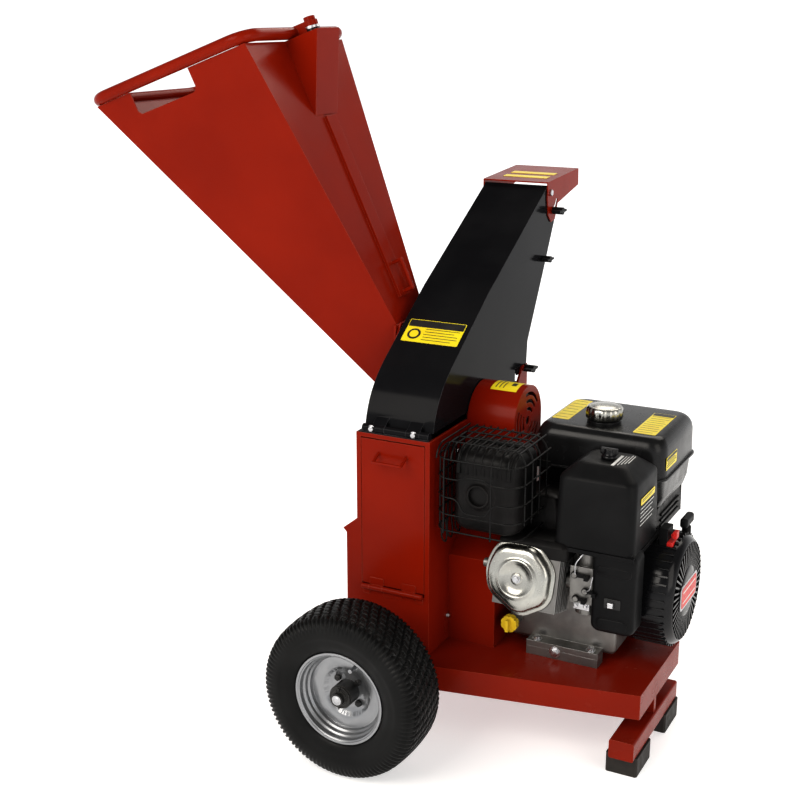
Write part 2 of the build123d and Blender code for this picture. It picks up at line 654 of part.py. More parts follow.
def wing_knob(r, x0, x1, y, z):
    # A knob with a round boss and two wings, turned about X.
    knob = rod_x(r, x0, x1, y, z)
    wing = block(x0 + 4, x1, y - 2.6 * r, y + 2.6 * r, z - 0.35 * r, z + 0.35 * r)
    knob = knob + fillet(wing.edges().filter_by(Axis.X), 0.25 * r)
    return knob


# The hood is held shut by a stud in an open-topped slot at the rear, and a wing knob.
latch_y = house_half_y - 12.0
latch_z = house_top_z + 36.0
stud_r = 4.0
slot_cut = block(house_in_right - 1, house_right_x + 1, latch_y - stud_r - 2, latch_y + stud_r + 2,
                 latch_z - stud_r - 1, house_top_z + 60)
pieces["rotor_housing"] = pieces["rotor_housing"] - slot_cut
hood = hood - block(house_in_right - part_gap, hood_right_x + 1, latch_y - 52, house_half_y + 2,
                    house_top_z, house_top_z + 44 + part_gap)
hood = hood - rod_x(tab_r + 3, house_in_right - part_gap, hood_right_x + 1, 0, rotor_z)
bracket = block(house_in_right - part_gap - 3, house_in_right - part_gap, latch_y - 32, 236.0,
                latch_z - 10, latch_z + 22)
hood = hood + bracket
latch_stud = rod_x(stud_r, house_in_right - part_gap - 8, house_right_x + 18, latch_y, latch_z)
latch_stud = latch_stud + hex_x(7.0, house_in_right - part_gap - 8, house_in_right - part_gap - 3,
                                latch_y, latch_z)
hood = hood - rod_x(stud_r, 40, 90, latch_y, latch_z)
pieces["latch_stud"] = latch_stud
latch_knob = wing_knob(8.0, house_right_x + 0.3, house_right_x + 22, latch_y, latch_z)
pieces["latch_knob"] = latch_knob - rod_x(stud_r + fit_gap, house_right_x, house_right_x + 18.2,
                                          latch_y, latch_z)

# A second wing knob clamps the upper chute at its rear edge.
chute_y = 318.0
chute_z = 872.0
hood = hood - rod_x(stud_r, 40, 90, chute_y, chute_z)
chute_stud = rod_x(stud_r, hood_right_x - hood_sheet - 5, hood_right_x + 16, chute_y, chute_z)
chute_stud = chute_stud + hex_x(7.0, hood_right_x - hood_sheet - 5, hood_right_x - hood_sheet,
                                chute_y, chute_z)
pieces["chute_stud"] = chute_stud
chute_knob = wing_knob(7.0, hood_right_x + 0.3, hood_right_x + 20, chute_y, chute_z)
pieces["chute_knob"] = chute_knob - rod_x(stud_r + fit_gap, hood_right_x, hood_right_x + 16.2,
                                          chute_y, chute_z)

# ---------------------------------------------------------------- deflector over the outlet
tilt_y = 345.0
tilt_z = 1013.0
ear_gap = 0.5
ear_t = 2.5
ear_in_left = hood_left_x - ear_gap
ear_in_right = hood_right_x + ear_gap
clamp_y = 365.0
clamp_z = 972.0
ear_profile = [(330.0, 1037.0), (518.0, 1049.0), (520.0, 1012.0), (392.0, 985.0), (378.0, 952.0),
               (355.0, 948.0), (338.0, 964.0), (330.0, 1000.0)]
deflector = slab_x(ear_profile, ear_in_left - ear_t, ear_in_right + ear_t)
deflector = deflector - slab_x([(300.0, 1032.0), (530.0, 1046.7), (530.0, 930.0), (300.0, 930.0)],
                               ear_in_left, ear_in_right)
for ear_x in (ear_in_left - ear_t - 1, ear_in_right - 1):
    deflector = deflector - rod_x(stud_r + fit_gap, ear_x, ear_x + ear_t + 2, tilt_y, tilt_z)
clamp_reach = hypot(clamp_y - tilt_y, clamp_z - tilt_z)
clamp_angle = atan2(clamp_z - tilt_z, clamp_y - tilt_y)
deflector_drop = radians(35)
slot_ends = arc_points((tilt_y, tilt_z), clamp_reach + stud_r + 0.5, clamp_angle - 0.12,
                       clamp_angle + deflector_drop + 0.12, 12)
slot_back = arc_points((tilt_y, tilt_z), clamp_reach - stud_r - 0.5, clamp_angle + deflector_drop + 0.12,
                       clamp_angle - 0.12, 12)
deflector = deflector - slab_x(slot_ends + slot_back, ear_in_right - 1, ear_in_right + ear_t + 1)
pieces["deflector"] = deflector
tilt_pins = Part()
hood = hood - rod_x(stud_r, hood_left_x - 2, hood_right_x + 2, tilt_y, tilt_z)
for wall_in, sign in ((hood_left_x + hood_sheet, -1), (hood_right_x - hood_sheet, 1)):
    inner_end = wall_in - sign * 5
    outer_end = wall_in + sign * (hood_sheet + ear_gap + ear_t + 5)
    nut_end = wall_in
    head_in = wall_in + sign * (hood_sheet + ear_gap + ear_t + 0.4)
    shank = sorted([inner_end, outer_end])
    nut = sorted([inner_end, nut_end])
    head = sorted([head_in, outer_end])
    tilt_pins = tilt_pins + rod_x(stud_r, shank[0], shank[1], tilt_y, tilt_z)
    tilt_pins = tilt_pins + hex_x(7.0, nut[0], nut[1], tilt_y, tilt_z)
    tilt_pins = tilt_pins + hex_x(7.0, head[0], head[1], tilt_y, tilt_z)
pieces["deflector_pins"] = tilt_pins
hood = hood - rod_x(stud_r, 40, 90, clamp_y, clamp_z)
clamp_stud = rod_x(stud_r, hood_right_x - hood_sheet - 5, hood_right_x + 22, clamp_y, clamp_z)
clamp_stud = clamp_stud + hex_x(7.0, hood_right_x - hood_sheet - 5, hood_right_x - hood_sheet,
                                clamp_y, clamp_z)
pieces["clamp_stud"] = clamp_stud
knob_x0 = ear_in_right + ear_t + 0.3
clamp_knob = wing_knob(8.0, knob_x0, knob_x0 + 24, clamp_y, clamp_z)
pieces["clamp_knob"] = clamp_knob - rod_x(stud_r + fit_gap, knob_x0 - 1, hood_right_x + 22.2,
                                          clamp_y, clamp_z)
pieces["hood"] = hood

# ---------------------------------------------------------------- hopper
tilt = radians(mouth_tilt)
mouth_high = (mouth_low[0] + mouth_length * cos(tilt), mouth_low[1] + mouth_length * sin(tilt))
throat_x = left_x


def hopper_solid(inset, overrun):
    # overrun pushes both open ends outwards so that the inside cuts cleanly through.
    along = (cos(tilt), sin(tilt))
    up = (-sin(tilt), cos(tilt))
    corners = []
    low = (mouth_low[0] + along[0] * inset + up[0] * overrun, mouth_low[1] + along[1] * inset
           + up[1] * overrun)
    high = (mouth_high[0] - along[0] * inset + up[0] * overrun, mouth_high[1] - along[1] * inset
            + up[1] * overrun)
    half = mouth_half_y - inset
    mouth = [Vector(low[0], -half, low[1]), Vector(high[0], -half, high[1]),
             Vector(high[0], half, high[1]), Vector(low[0], half, low[1])]
    half = throat_half_y - inset
    x = throat_x + overrun
    throat = [Vector(x, -half, throat_low_z + inset), Vector(x, -half, throat_high_z - inset),
              Vector(x, half, throat_high_z - inset), Vector(x, half, throat_low_z + inset)]
    return Solid.make_loft([Wire.make_polygon(mouth, close=True), Wire.make_polygon(throat, close=True)],
                           True)


hopper_outer = Part() + hopper_solid(0.0, 0.0)
hopper = hopper_outer - hopper_solid(hopper_sheet, 0.01)
flange = block(throat_x - 4, throat_x, -throat_half_y - 14, throat_half_y + 14, throat_low_z - 2,
               throat_high_z + 10)
hopper = hopper + (flange - hopper_outer)
mouth_frame = Plane(origin=(mouth_low[0], 0, mouth_low[1]), x_dir=(cos(tilt), 0, sin(tilt)),
                    z_dir=(-sin(tilt), 0, cos(tilt)))
hand_low = 92.0            # hand notch, measured along the mouth from its low corner
hand_length = 155.0
hand_depth = 47.0
hand_corner_r = 12.0
hand_face = RectangleRounded(hand_length, 2 * hand_depth, hand_corner_r)
hand_cut = Part() + mouth_frame * Pos(hand_low + hand_length / 2, mouth_half_y + 10, 0) * Rot(90, 0, 0) * (
    extrude(hand_face, 2 * mouth_half_y + 20))
hopper = hopper - hand_cut
pieces["hopper"] = hopper

# Safety bar: a closed loop of tube round the mouth, turning on a pin at the chute side.
ring_z = bar_lift
ring_u0 = -bar_out
ring_u1 = mouth_length + bar_out
ring_v = mouth_half_y + 1.0
corner_r = 42.0
ring_path = mouth_frame * (Pos(0, 0, ring_z) * RectangleRounded(
    ring_u1 - ring_u0, 2 * ring_v, corner_r).moved(Location(((ring_u0 + ring_u1) / 2, 0, 0))))
ring_wire = ring_path.faces()[0].outer_wire()
start_point = ring_wire @ 0
start_dir = ring_wire % 0
ring_profile = Plane(origin=start_point, z_dir=start_dir) * Circle(bar_r)
ring_bore = Plane(origin=start_point, z_dir=start_dir) * Circle(bar_r - 2.5)
bar_outer = sweep(ring_profile, path=ring_wire)
bar_inner = sweep(ring_bore, path=ring_wire)
safety_bar = bar_outer - bar_inner
pivot_u = mouth_length + bar_out
pivot_v = 0.0
pin_reach = 37.0           # from the tube's middle line out to the pin
pin_r = 6.0
lug = Part() + mouth_frame * Pos(pivot_u + pin_reach / 2, pivot_v, ring_z) * Box(pin_reach, 30, 25)
eye = Part() + mouth_frame * Pos(pivot_u + pin_reach, pivot_v, ring_z) * Cylinder(15, 25)
bore = Part() + mouth_frame * Pos(pivot_u + pin_reach, pivot_v, ring_z) * Cylinder(pin_r + fit_gap, 40)
safety_bar = safety_bar + (lug - bar_inner) + (eye - bar_inner)
pieces["safety_bar"] = safety_bar - bore

# The switch box is a wedge of sheet on the hopper's upper face that carries the bar's pin.
slope_dx = throat_x - mouth_high[0]
slope_dz = throat_high_z - mouth_high[1]
slope_len = hypot(slope_dx, slope_dz)
down = (slope_dx / slope_len, slope_dz / slope_len)
out = (-down[1], down[0])
box_v0 = -42.0
box_v1 = 45.0
box_deep = 160.0
box_out = 80.0


def face_point(along_face, off_face):
    return (mouth_high[0] + down[0] * along_face + out[0] * off_face,
            mouth_high[1] + down[1] * along_face + out[1] * off_face)


top_corner = (mouth_high[0] + box_out * cos(tilt), mouth_high[1] + box_out * sin(tilt))
box_profile = [face_point(0, 0), top_corner, face_point(box_deep, 0)]
switch_box = slab_y(box_profile, box_v0, box_v1) - hopper_outer
box_inner = [face_point(5, 3), (top_corner[0] - 10, top_corner[1] - 7), face_point(box_deep - 16, 3)]
switch_box = switch_box - slab_y(box_inner, box_v0 + 3, box_v1 - 3)
pin_solid = Part() + mouth_frame * Pos(pivot_u + pin_reach, pivot_v, ring_z - 2) * Cylinder(pin_r, 44)
cap_solid = Part() + mouth_frame * Pos(pivot_u + pin_reach, pivot_v, ring_z + 12.5 + turn_gap + 4) * Cylinder(12, 8)
washer_solid = Part() + mouth_frame * Pos(pivot_u + pin_reach, pivot_v, ring_z - 12.5 - turn_gap - 1.55) * Cylinder(
    14, 3.1)
pin_hole = Part() + mouth_frame * Pos(pivot_u + pin_reach, pivot_v, -10) * Cylinder(pin_r, 30)
pieces["switch_box"] = switch_box - pin_solid - washer_solid
pieces["bar_pin"] = pin_solid + cap_solid + washer_solid

# A flat strip runs down the hopper's upper face and ends in a bent lifting loop.
strip_w = 42.0
strip_start = box_deep + 4
strip_end = slope_len - 60
strip_v = 30.0


def face_slab(a0, a1, off0, off1, v0, v1):
    corners = [face_point(a0, off0), face_point(a1, off0), face_point(a1, off1), face_point(a0, off1)]
    return slab_y(corners, v0, v1)


channel = face_slab(strip_start, strip_end, 0, 6, strip_v - strip_w, strip_v - 4)
channel = channel - face_slab(strip_start - 1, strip_end + 1, -1, 3, strip_v - strip_w + 3, strip_v - 7)
pieces["hopper_channel"] = channel - hopper_outer
loop_a = strip_end - 70
loop_b = strip_end - 8
loop_out = 22.0
loop_v = strip_v - strip_w / 2 - 2
loop_points = []
for along_face, off_face in ((loop_a, 6), (loop_a, 6 + loop_out), (loop_b, 6 + loop_out), (loop_b, 6)):
    u, w = face_point(along_face, off_face)
    loop_points.append((u, loop_v, w))
hopper_loop = wire_rod(loop_points, 4.0)
pieces["hopper_loop"] = hopper_loop - face_slab(strip_start, strip_end, -10, 6, strip_v - strip_w - 20,
                                                strip_v + 20)

# ---------------------------------------------------------------- engine: bottom end
rail_h = case_low_z - plate_top_z
rail_x0 = 240.0
rail_x1 = 388.0
rails = block(rail_x0, rail_x1, -140, -108, plate_top_z, case_low_z)
rails = rails + block(rail_x0, rail_x1, 70, 102, plate_top_z, case_low_z)
rail_bolt_spots = [(rail_x0 + 18, -128), (rail_x1 - 18, -128), (rail_x0 + 18, 86), (rail_x1 - 18, 86)]
case_foot = block(rail_x0, rail_x1, -140, case_near_y + 2, case_low_z, case_low_z + 12)
case = soft_block(case_left_x, case_right_x, case_near_y, case_far_y, case_low_z, case_top_z, 10)
case = case + case_foot + rod_x(56, case_left_x - 10, case_left_x + 14, crank_y, crank_z)
case_void = block(case_left_x + case_wall, case_right_x - case_wall, case_near_y + case_wall,
                  case_far_y - case_wall, case_low_z + case_wall, case_top_z - case_wall)
case = case - case_void
case = case + rod_x(40, case_left_x, case_left_x + 24, crank_y, crank_z)
case = case + rod_x(40, case_right_x - 24, case_right_x, crank_y, crank_z)
main_outer_r = 31.0
main_w = 16.0
main_bearings = Part()
for seat_x in (case_left_x + 6, case_right_x - 22):
    seat = rod_x(main_outer_r, seat_x, seat_x + main_w, crank_y, crank_z)
    case = case - seat
    ring = seat - rod_x(crank_r + fit_gap, seat_x - 1, seat_x + main_w + 1, crank_y, crank_z)
    main_bearings = main_bearings + ring
case = case - rod_x(crank_r + 4, case_left_x - 20, case_right_x + 20, crank_y, crank_z)
case = case - rod_x(main_outer_r, case_left_x + 22, case_left_x + 40, crank_y, crank_z)
case = case - rod_x(main_outer_r, case_right_x - 40, case_right_x - 22, crank_y, crank_z)
rail_bolts = Part()
for bolt_x, bolt_y in rail_bolt_spots:
    shank = rod_z(4.0, plate_top_z - plate_t - 8, case_low_z + 12, bolt_x, bolt_y)
    rails = rails - shank
    case = case - shank
    base = base - shank
    top_z = case_low_z + 12 if bolt_y < 0 else case_low_z
    shank = rod_z(4.0, plate_top_z - plate_t - 8, top_z, bolt_x, bolt_y)
    rail_bolts = rail_bolts + shank + hex_z(7.0, top_z, top_z + 6, bolt_x, bolt_y)
    rail_bolts = rail_bolts + hex_z(7.0, plate_top_z - plate_t - 7, plate_top_z - plate_t, bolt_x, bolt_y)
case = case - hex_z(9.0, case_low_z, case_low_z + 8, rail_bolt_spots[2][0], rail_bolt_spots[2][1])
case = case - hex_z(9.0, case_low_z, case_low_z + 8, rail_bolt_spots[3][0], rail_bolt_spots[3][1])

fly_x0 = fan_left_x + 12
fly_x1 = fly_x0 + 34
crank_left_x = pulley_x - pulley_w / 2 - 6
throw = 30.0
crank = rod_x(crank_r, crank_left_x, cyl_x - 26, crank_y, crank_z)
crank = crank + rod_x(crank_r, cyl_x + 26, fly_x1 + 4, crank_y, crank_z)
for web_x in (cyl_x - 30, cyl_x + 16):
    web = block(web_x, web_x + 14, crank_y - 24, crank_y + 24, crank_z - throw - 20, crank_z + throw + 16)
    crank = crank + fillet(web.edges().filter_by(Axis.X), 10)
crank = crank + rod_x(15.0, cyl_x - 26, cyl_x + 26, crank_y, crank_z + throw)
pieces["crankshaft"] = crank
pieces["main_bearings"] = main_bearings
pieces["engine_rails"] = rails
pieces["rail_bolts"] = rail_bolts
pieces["base_plate"] = base

# ---------------------------------------------------------------- cylinder, head and valve cover
cyl_frame = Plane(origin=(cyl_x, crank_y, crank_z), x_dir=(1, 0, 0),
                  z_dir=(0, -cos(radians(cyl_tilt)), sin(radians(cyl_tilt))))
core_end = 166.0
head_end = 200.0
cover_end = 226.0
case_shape = block(case_left_x, case_right_x, case_near_y, case_far_y, case_low_z, case_top_z)
barrel = Part() + cyl_frame * Pos(0, 0, core_end / 2 + 40) * Cylinder(cyl_core_r, core_end - 80)
for i in range(5):
    fin_s = core_end - fin_t - 3 - i * fin_pitch
    barrel = barrel + cyl_frame * Pos(0, 0, fin_s + fin_t / 2) * Box(124, 118, fin_t)
bore = cyl_frame * Pos(0, 0, core_end / 2) * Cylinder(cyl_bore_r, core_end + 2)
barrel = barrel - bore - case_shape
pieces["cylinder"] = barrel
case = case - cyl_frame * Pos(0, 0, core_end / 2) * Cylinder(cyl_bore_r, core_end)
pieces["crankcase"] = case
head = Part() + cyl_frame * Pos(0, 0, (core_end + head_end) / 2) * Box(128, 112, head_end - core_end)
for i in range(3):
    groove_s = core_end + 6 + i * 9
    ring = Box(140, 130, 4) - Box(100, 90, 6)
    head = head - cyl_frame * Pos(0, 0, groove_s + 2) * ring
cover_outline = [(-50.0, 66.0), (30.0, 70.0), (70.0, 26.0), (66.0, -42.0), (6.0, -76.0), (-62.0, -34.0),
                 (-72.0, 16.0)]
cover_face = make_face(Polyline(*cover_outline, close=True))
cover_face = fillet(cover_face.vertices(), 14)
cover_shift = Pos(-4, 10, 0)
cover = Part() + cyl_frame * cover_shift * Pos(0, 0, head_end) * extrude(cover_face, cover_end - head_end)
cover = cover - cyl_frame * cover_shift * Pos(0, 0, head_end) * extrude(
    offset(cover_face, amount=-3), cover_end - head_end - 3)
rim_face = offset(cover_face, amount=3)
cover = cover + cyl_frame * cover_shift * Pos(0, 0, head_end) * (
    extrude(rim_face, 3) - extrude(offset(cover_face, amount=-3), 3))
cover = cover - cyl_frame * cover_shift * Pos(0, 0, cover_end) * Cylinder(4, 20)
cover_bolt = Part() + cyl_frame * cover_shift * Pos(0, 0, (head_end - 12 + cover_end) / 2) * Cylinder(
    4, cover_end - head_end + 12)
cover_bolt = cover_bolt + cyl_frame * cover_shift * Pos(0, 0, cover_end) * extrude(RegularPolygon(8, 6), 7)
head = head - cyl_frame * cover_shift * Pos(0, 0, head_end) * Cylinder(4, 24)
pieces["valve_cover"] = cover
pieces["cover_bolt"] = cover_bolt

plug_x = cyl_x - 64
plug_y = -187.0
plug_z = 366.0
plug = rod_x(6.0, plug_x - 14, plug_x + 2, plug_y, plug_z)
plug = plug + hex_x(9.0, plug_x - 7, plug_x, plug_y, plug_z)
plug = plug + rod_x(9.0, plug_x - 30, plug_x - 10, plug_y, plug_z)
pieces["spark_plug"] = plug

# ---------------------------------------------------------------- exhaust
muf_x0 = 118.0
muf_x1 = 244.0
muf_y0 = -218.0
muf_y1 = -106.0
muf_z0 = 438.0
muf_z1 = 600.0
muffler = soft_block(muf_x0, muf_x1, muf_y0, muf_y1, muf_z0, muf_z1, 16)
muffler = muffler - soft_block(muf_x0 + 3, muf_x1 - 3, muf_y0 + 3, muf_y1 - 3, muf_z0 + 3, muf_z1 - 3, 13)
outlet_x = 172.0
outlet_z = 517.0
muffler = muffler + rod_y(22, muf_y0 - 9, muf_y0 + 3, outlet_x, outlet_z)
muffler = muffler - rod_y(19, muf_y0 - 12, muf_y0 + 4, outlet_x, outlet_z)
muffler = muffler - rod_z(15, muf_z0 - 1, muf_z0 + 4, 222, -168)
head_block = cyl_frame * Pos(0, 0, (core_end + head_end) / 2) * Box(128, 112, head_end - core_end)
pipe = rod_z(15, 380, muf_z0 + 3, 222, -168) - rod_z(12, 370, muf_z0 + 10, 222, -168)
pipe = pipe - head_block - barrel
flange = block(196, 248, -184, -150, 424, 430) - rod_z(15, 420, 440, 222, -168)
pieces["exhaust_pipe"] = pipe + flange
pieces["cylinder_head"] = head
pieces["muffler"] = muffler

cage_x0 = 86.0
cage_x1 = 262.0
cage_y0 = -252.0
cage_y1 = -98.0
cage_z0 = 412.0
cage_z1 = 612.0
wire_r = 1.8
cage = Part()
for z in (444.0, 477.0, 511.0, 549.0, 587.0):
    # The middle wire dips under the outlet, so that the gas and a deflector tube pass clear of it.
    dip = [(outlet_x - 36, cage_y0, z), (outlet_x - 22, cage_y0, z - 26), (outlet_x + 22, cage_y0, z - 26),
           (outlet_x + 36, cage_y0, z)] if z == 511.0 else []
    loop = [(cage_x0, cage_y1, z), (cage_x0, cage_y0 + 22, z), (cage_x0 + 22, cage_y0, z)] + dip + [
            (cage_x1 - 22, cage_y0, z), (cage_x1, cage_y0 + 22, z), (cage_x1, cage_y1, z)]
    cage = cage + wire_rod(loop, wire_r)
for x in (cage_x0 + 22, cage_x0 + 54, cage_x0 + 119, cage_x0 + 152):
    hoop = [(x, cage_y0 - 2.4, cage_z0), (x, cage_y0 - 2.4, cage_z1 - 18), (x, cage_y0 + 18, cage_z1),
            (x, cage_y1, cage_z1)]
    cage = cage + wire_rod(hoop, wire_r)
for y in (cage_y0 + 30, cage_y0 + 70, cage_y0 + 110, cage_y1):
    hoop = [(cage_x0 - 2.4, y, 440.0), (cage_x0 - 2.4, y, cage_z1 - 16), (cage_x0 + 14, y, cage_z1 + 2.4),
            (cage_x1 - 14, y, cage_z1 + 2.4), (cage_x1 + 2.4, y, cage_z1 - 16), (cage_x1 + 2.4, y, 440.0)]
    cage = cage + wire_rod(hoop, wire_r)
strap = block(cage_x0, cage_x1, cage_y1 - 1.5, cage_y1 + 1.5, 548, 560)
cage = cage + strap + block(150, 170, muf_y1, cage_y1, 548, 560) + block(190, 210, muf_y1, cage_y1, 548, 560)
pieces["muffler_cage"] = cage

# ---------------------------------------------------------------- cooling fan, recoil starter and switch
fan_back = case_right_x
shell = rod_x(fan_r, fan_left_x, fan_right_x - 14, crank_y, crank_z)
shell = shell + rod_x(fan_r - 14, fan_right_x - 14, fan_right_x, crank_y, crank_z)
shell = shell - rod_x(fan_r - fan_wall, fan_left_x - 1, fan_right_x - 14 - fan_wall, crank_y, crank_z)
shell = shell - rod_x(fan_r - 14 - fan_wall, fan_left_x - 1, fan_right_x - fan_wall, crank_y, crank_z)
for i in range(12):
    start = 2 * pi * i / 12
    vent = arc_points((crank_y, crank_z), 88, start, start + 0.34, 6)
    vent = vent + arc_points((crank_y, crank_z), 46, start + 0.34, start, 6)
    shell = shell - slab_x(vent, fan_right_x - 10, fan_right_x + 1)
fan_plate = rod_x(fan_r, fan_back, fan_left_x, crank_y, crank_z) - rod_x(
    46, fan_back - 1, fan_left_x + 1, crank_y, crank_z)
rope_x = 500.0
spool_r = 46.0
rope_y = crank_y + spool_r + 2.2
rope_r = 2.0
rope_out = 0.09
guide_low = crank_z + 96
guide_high = crank_z + 116
shell = shell + rod_z(9, guide_low, guide_high, rope_x, rope_y)
shell = shell - rod_z(rope_r + 0.1, crank_z, guide_high + 1, rope_x, rope_y)
shell = shell - rod_z(9.5, crank_z - 5, guide_low, rope_x, rope_y).intersect(
    rod_x(fan_r - 14 - fan_wall, fan_left_x, fan_right_x - fan_wall, crank_y, crank_z))
pieces["fan_plate"] = fan_plate
post_r = 9.0
shell = shell + rod_x(post_r, rope_x - 12, fan_right_x - fan_wall, crank_y, crank_z)
spool = rod_x(spool_r, rope_x - 6, rope_x + 6, crank_y, crank_z)
spool = spool - (rod_x(spool_r + 1, rope_x - 3, rope_x + 3, crank_y, crank_z)
                 - rod_x(spool_r - 6, rope_x - 4, rope_x + 4, crank_y, crank_z))
spool = spool - rod_x(post_r + fit_gap, rope_x - 20, rope_x + 20, crank_y, crank_z)
pieces["recoil_spool"] = spool
pieces["recoil_housing"] = shell
rope = rod_z(rope_r, crank_z + 6, guide_high + 4, rope_x, rope_y)
pieces["recoil_rope"] = rope
grip_z0 = guide_high + 0.3
grip = block(rope_x - 8, rope_x + 8, rope_y - 26, rope_y + 26, grip_z0, grip_z0 + 20)
grip = fillet(grip.edges(), 6)
pieces["recoil_grip"] = grip - rod_z(rope_r, grip_z0 - 1, grip_z0 + 3, rope_x, rope_y)

flywheel = rod_x(60, fly_x0, fly_x1, crank_y, crank_z) + rod_x(94, fly_x0, fly_x0 + 6, crank_y, crank_z)
for i in range(14):
    blade = Pos(0, crank_y, crank_z) * Rot(i * 360 / 14, 0, 0) * block(fly_x0 + 5, fly_x1, -2, 2, 58, 93)
    flywheel = flywheel + blade
pieces["flywheel"] = flywheel - rod_x(crank_r, fly_x0 - 1, fly_x1 + 1, crank_y, crank_z)

switch_body = block(472, 500, -58, -22, 402, 446) - rod_x(fan_r, fan_left_x, fan_right_x, crank_y, crank_z)
rocker_y = -40.0
rocker_z = 432.0
switch_cut = block(490, 501, rocker_y - 9, rocker_y + 9, rocker_z - 10, rocker_z + 10)
rocker_pin_r = 1.5
switch_body = switch_body - switch_cut
switch_body = switch_body - rod_y(rocker_pin_r + fit_gap, rocker_y - 12, rocker_y + 12, 497, rocker_z)
pieces["switch_box_engine"] = switch_body
rocker = rod_y(4.0, rocker_y - 8, rocker_y + 8, 497, rocker_z)
rocker = rocker + block(497, 504, rocker_y - 8, rocker_y + 8, rocker_z - 7, rocker_z + 7)
rocker = rocker + rod_y(rocker_pin_r, rocker_y - 11, rocker_y + 11, 497, rocker_z)
pieces["engine_switch"] = rocker

# ---------------------------------------------------------------- fuel tank
tank_x0 = 192.0
tank_x1 = 463.0
tank_y0 = -20.0
tank_y1 = 215.0
tank_z0 = 452.0
tank_z1 = 606.0
tank = soft_block(tank_x0, tank_x1, tank_y0, tank_y1, tank_z0, tank_z1, 22)
tank = tank + block(tank_x0 - 3, tank_x1 + 3, tank_y0 - 3, tank_y1 + 3, 556, 560)
tank = tank - soft_block(tank_x0 + 4, tank_x1 - 4, tank_y0 + 4, tank_y1 - 4, tank_z0 + 4, tank_z1 - 4, 18)
cap_x = 314.0
cap_y = 60.0
neck_r = 24.0
neck_top = 620.0
tank = tank + rod_z(neck_r, tank_z1 - 6, neck_top, cap_x, cap_y)
tank = tank - rod_z(neck_r - 4, tank_z1 - 10, neck_top + 1, cap_x, cap_y)
pieces["fuel_tank"] = tank
cap = rod_z(38, tank_z1 + 2, 642, cap_x, cap_y) - rod_z(neck_r + fit_gap, tank_z1 + 1, neck_top + 0.4, cap_x,
                                                         cap_y)
for i in range(10):
    angle = 2 * pi * i / 10
    cap = cap - rod_z(6, tank_z1 + 1, 643, cap_x + 42 * cos(angle), cap_y + 42 * sin(angle))
pieces["fuel_cap"] = cap
brackets = Part()
for foot_x in (230.0, 380.0):
    brackets = brackets + block(foot_x - 12, foot_x + 12, 30, 80, case_top_z, case_top_z + 5)
    brackets = brackets + block(foot_x - 12, foot_x + 12, 76, 80, case_top_z, tank_z0)
    brackets = brackets + block(foot_x - 12, foot_x + 12, 30, 110, tank_z0 - 4, tank_z0)
pieces["tank_brackets"] = brackets

# ---------------------------------------------------------------- intake, controls and oil filler
air_x0 = 306.0
air_x1 = 462.0
air_y0 = -186.0
air_y1 = -32.0
air_z0 = 428.0
air_z1 = 590.0
cover_box = block(air_x0, air_x1, air_y0, air_y1, air_z0, air_z1)
cover_box = chamfer(cover_box.faces().sort_by(Axis.Z)[-1].edges(), 16)
cover_box = fillet(cover_box.edges().filter_by(Axis.Z), 10)
inner_box = block(air_x0 + 3, air_x1 - 3, air_y0 + 3, air_y1 - 3, air_z0 - 1, air_z1 - 18)
stud_x = 384.0
stud_y = -112.0
cover_box = cover_box - inner_box - rod_z(3.0, air_z0, air_z1 + 1, stud_x, stud_y)
air_base = block(air_x0 + 3, air_x1 - 3, air_y0 + 3, air_y1 - 3, air_z0, air_z0 + 6)
air_base = air_base + block(air_x0 - 2, air_x1 + 2, air_y0 - 2, air_y1 + 2, air_z0 - 8, air_z0)
air_base = air_base - rod_z(16, air_z0 - 20, air_z0 + 20, 366, -150)
air_base = air_base - rod_z(3.0, air_z0 - 20, air_z0 + 20, stud_x, stud_y)
pieces["air_cleaner_cover"] = cover_box
pieces["air_cleaner_base"] = air_base
element = soft_block(air_x0 + 20, air_x1 - 20, air_y0 + 20, air_y1 - 20, air_z0 + 6, air_z1 - 30, 8)
element = element - block(air_x0 + 34, air_x1 - 34, air_y0 + 34, air_y1 - 34, air_z0, air_z1 - 20)
pieces["filter_element"] = element
pieces["air_stud"] = rod_z(3.0, air_z0 - 8, air_z1 + 12, stud_x, stud_y)
knob = rod_z(14, air_z1 + 0.4, air_z1 + 20, stud_x, stud_y)
for i in range(6):
    angle = 2 * pi * i / 6
    knob = knob - rod_z(4, air_z1 - 1, air_z1 + 21, stud_x + 16 * cos(angle), stud_y + 16 * sin(angle))
pieces["air_knob"] = knob - rod_z(3.0 + fit_gap, air_z1 - 1, air_z1 + 12.3, stud_x, stud_y)

carb = block(344, 388, -176, -124, 318, 388) + rod_z(22, 290, 318, 366, -150)
carb = carb + rod_z(19, 388, air_z0 - 8, 366, -150) - rod_z(16, 330, air_z0 - 7, 366, -150)
intake = rod_x(15, cyl_x + 64, 344, -150, 346)
carb_void = rod_x(12, 330, 380, -150, 346)
pieces["carburettor"] = carb - carb_void
pieces["intake_pipe"] = intake - rod_x(12, cyl_x + 60, 350, -150, 346) - head_block - barrel
air_leg = block(396, 408, -170, -130, case_top_z, air_z0 - 8) + block(396, 408, -130, -60, case_top_z,
                                                                       case_top_z + 6)
air_leg = air_leg + block(396, 408, -100, -60, case_top_z, air_z0 - 8)
pieces["air_bracket"] = air_leg

cowl = block(420, 484, -190, -132, 262, air_z0 - 10)
cowl = chamfer(cowl.edges().filter_by(Axis.X).sort_by(Axis.Z)[0:2], 18)
cowl = cowl - block(423, 481, -187, -131, 284, air_z0 - 14)
pieces["control_cowl"] = cowl - rod_x(fan_r + 1, 400, 540, crank_y, crank_z)
cowl_foot = block(408, 420, -160, -140, 360, 372) + block(408, 412, -160, -104, 360, 372)
pieces["cowl_bracket"] = cowl_foot - block(400, case_right_x, -109, -100, 300, 380)

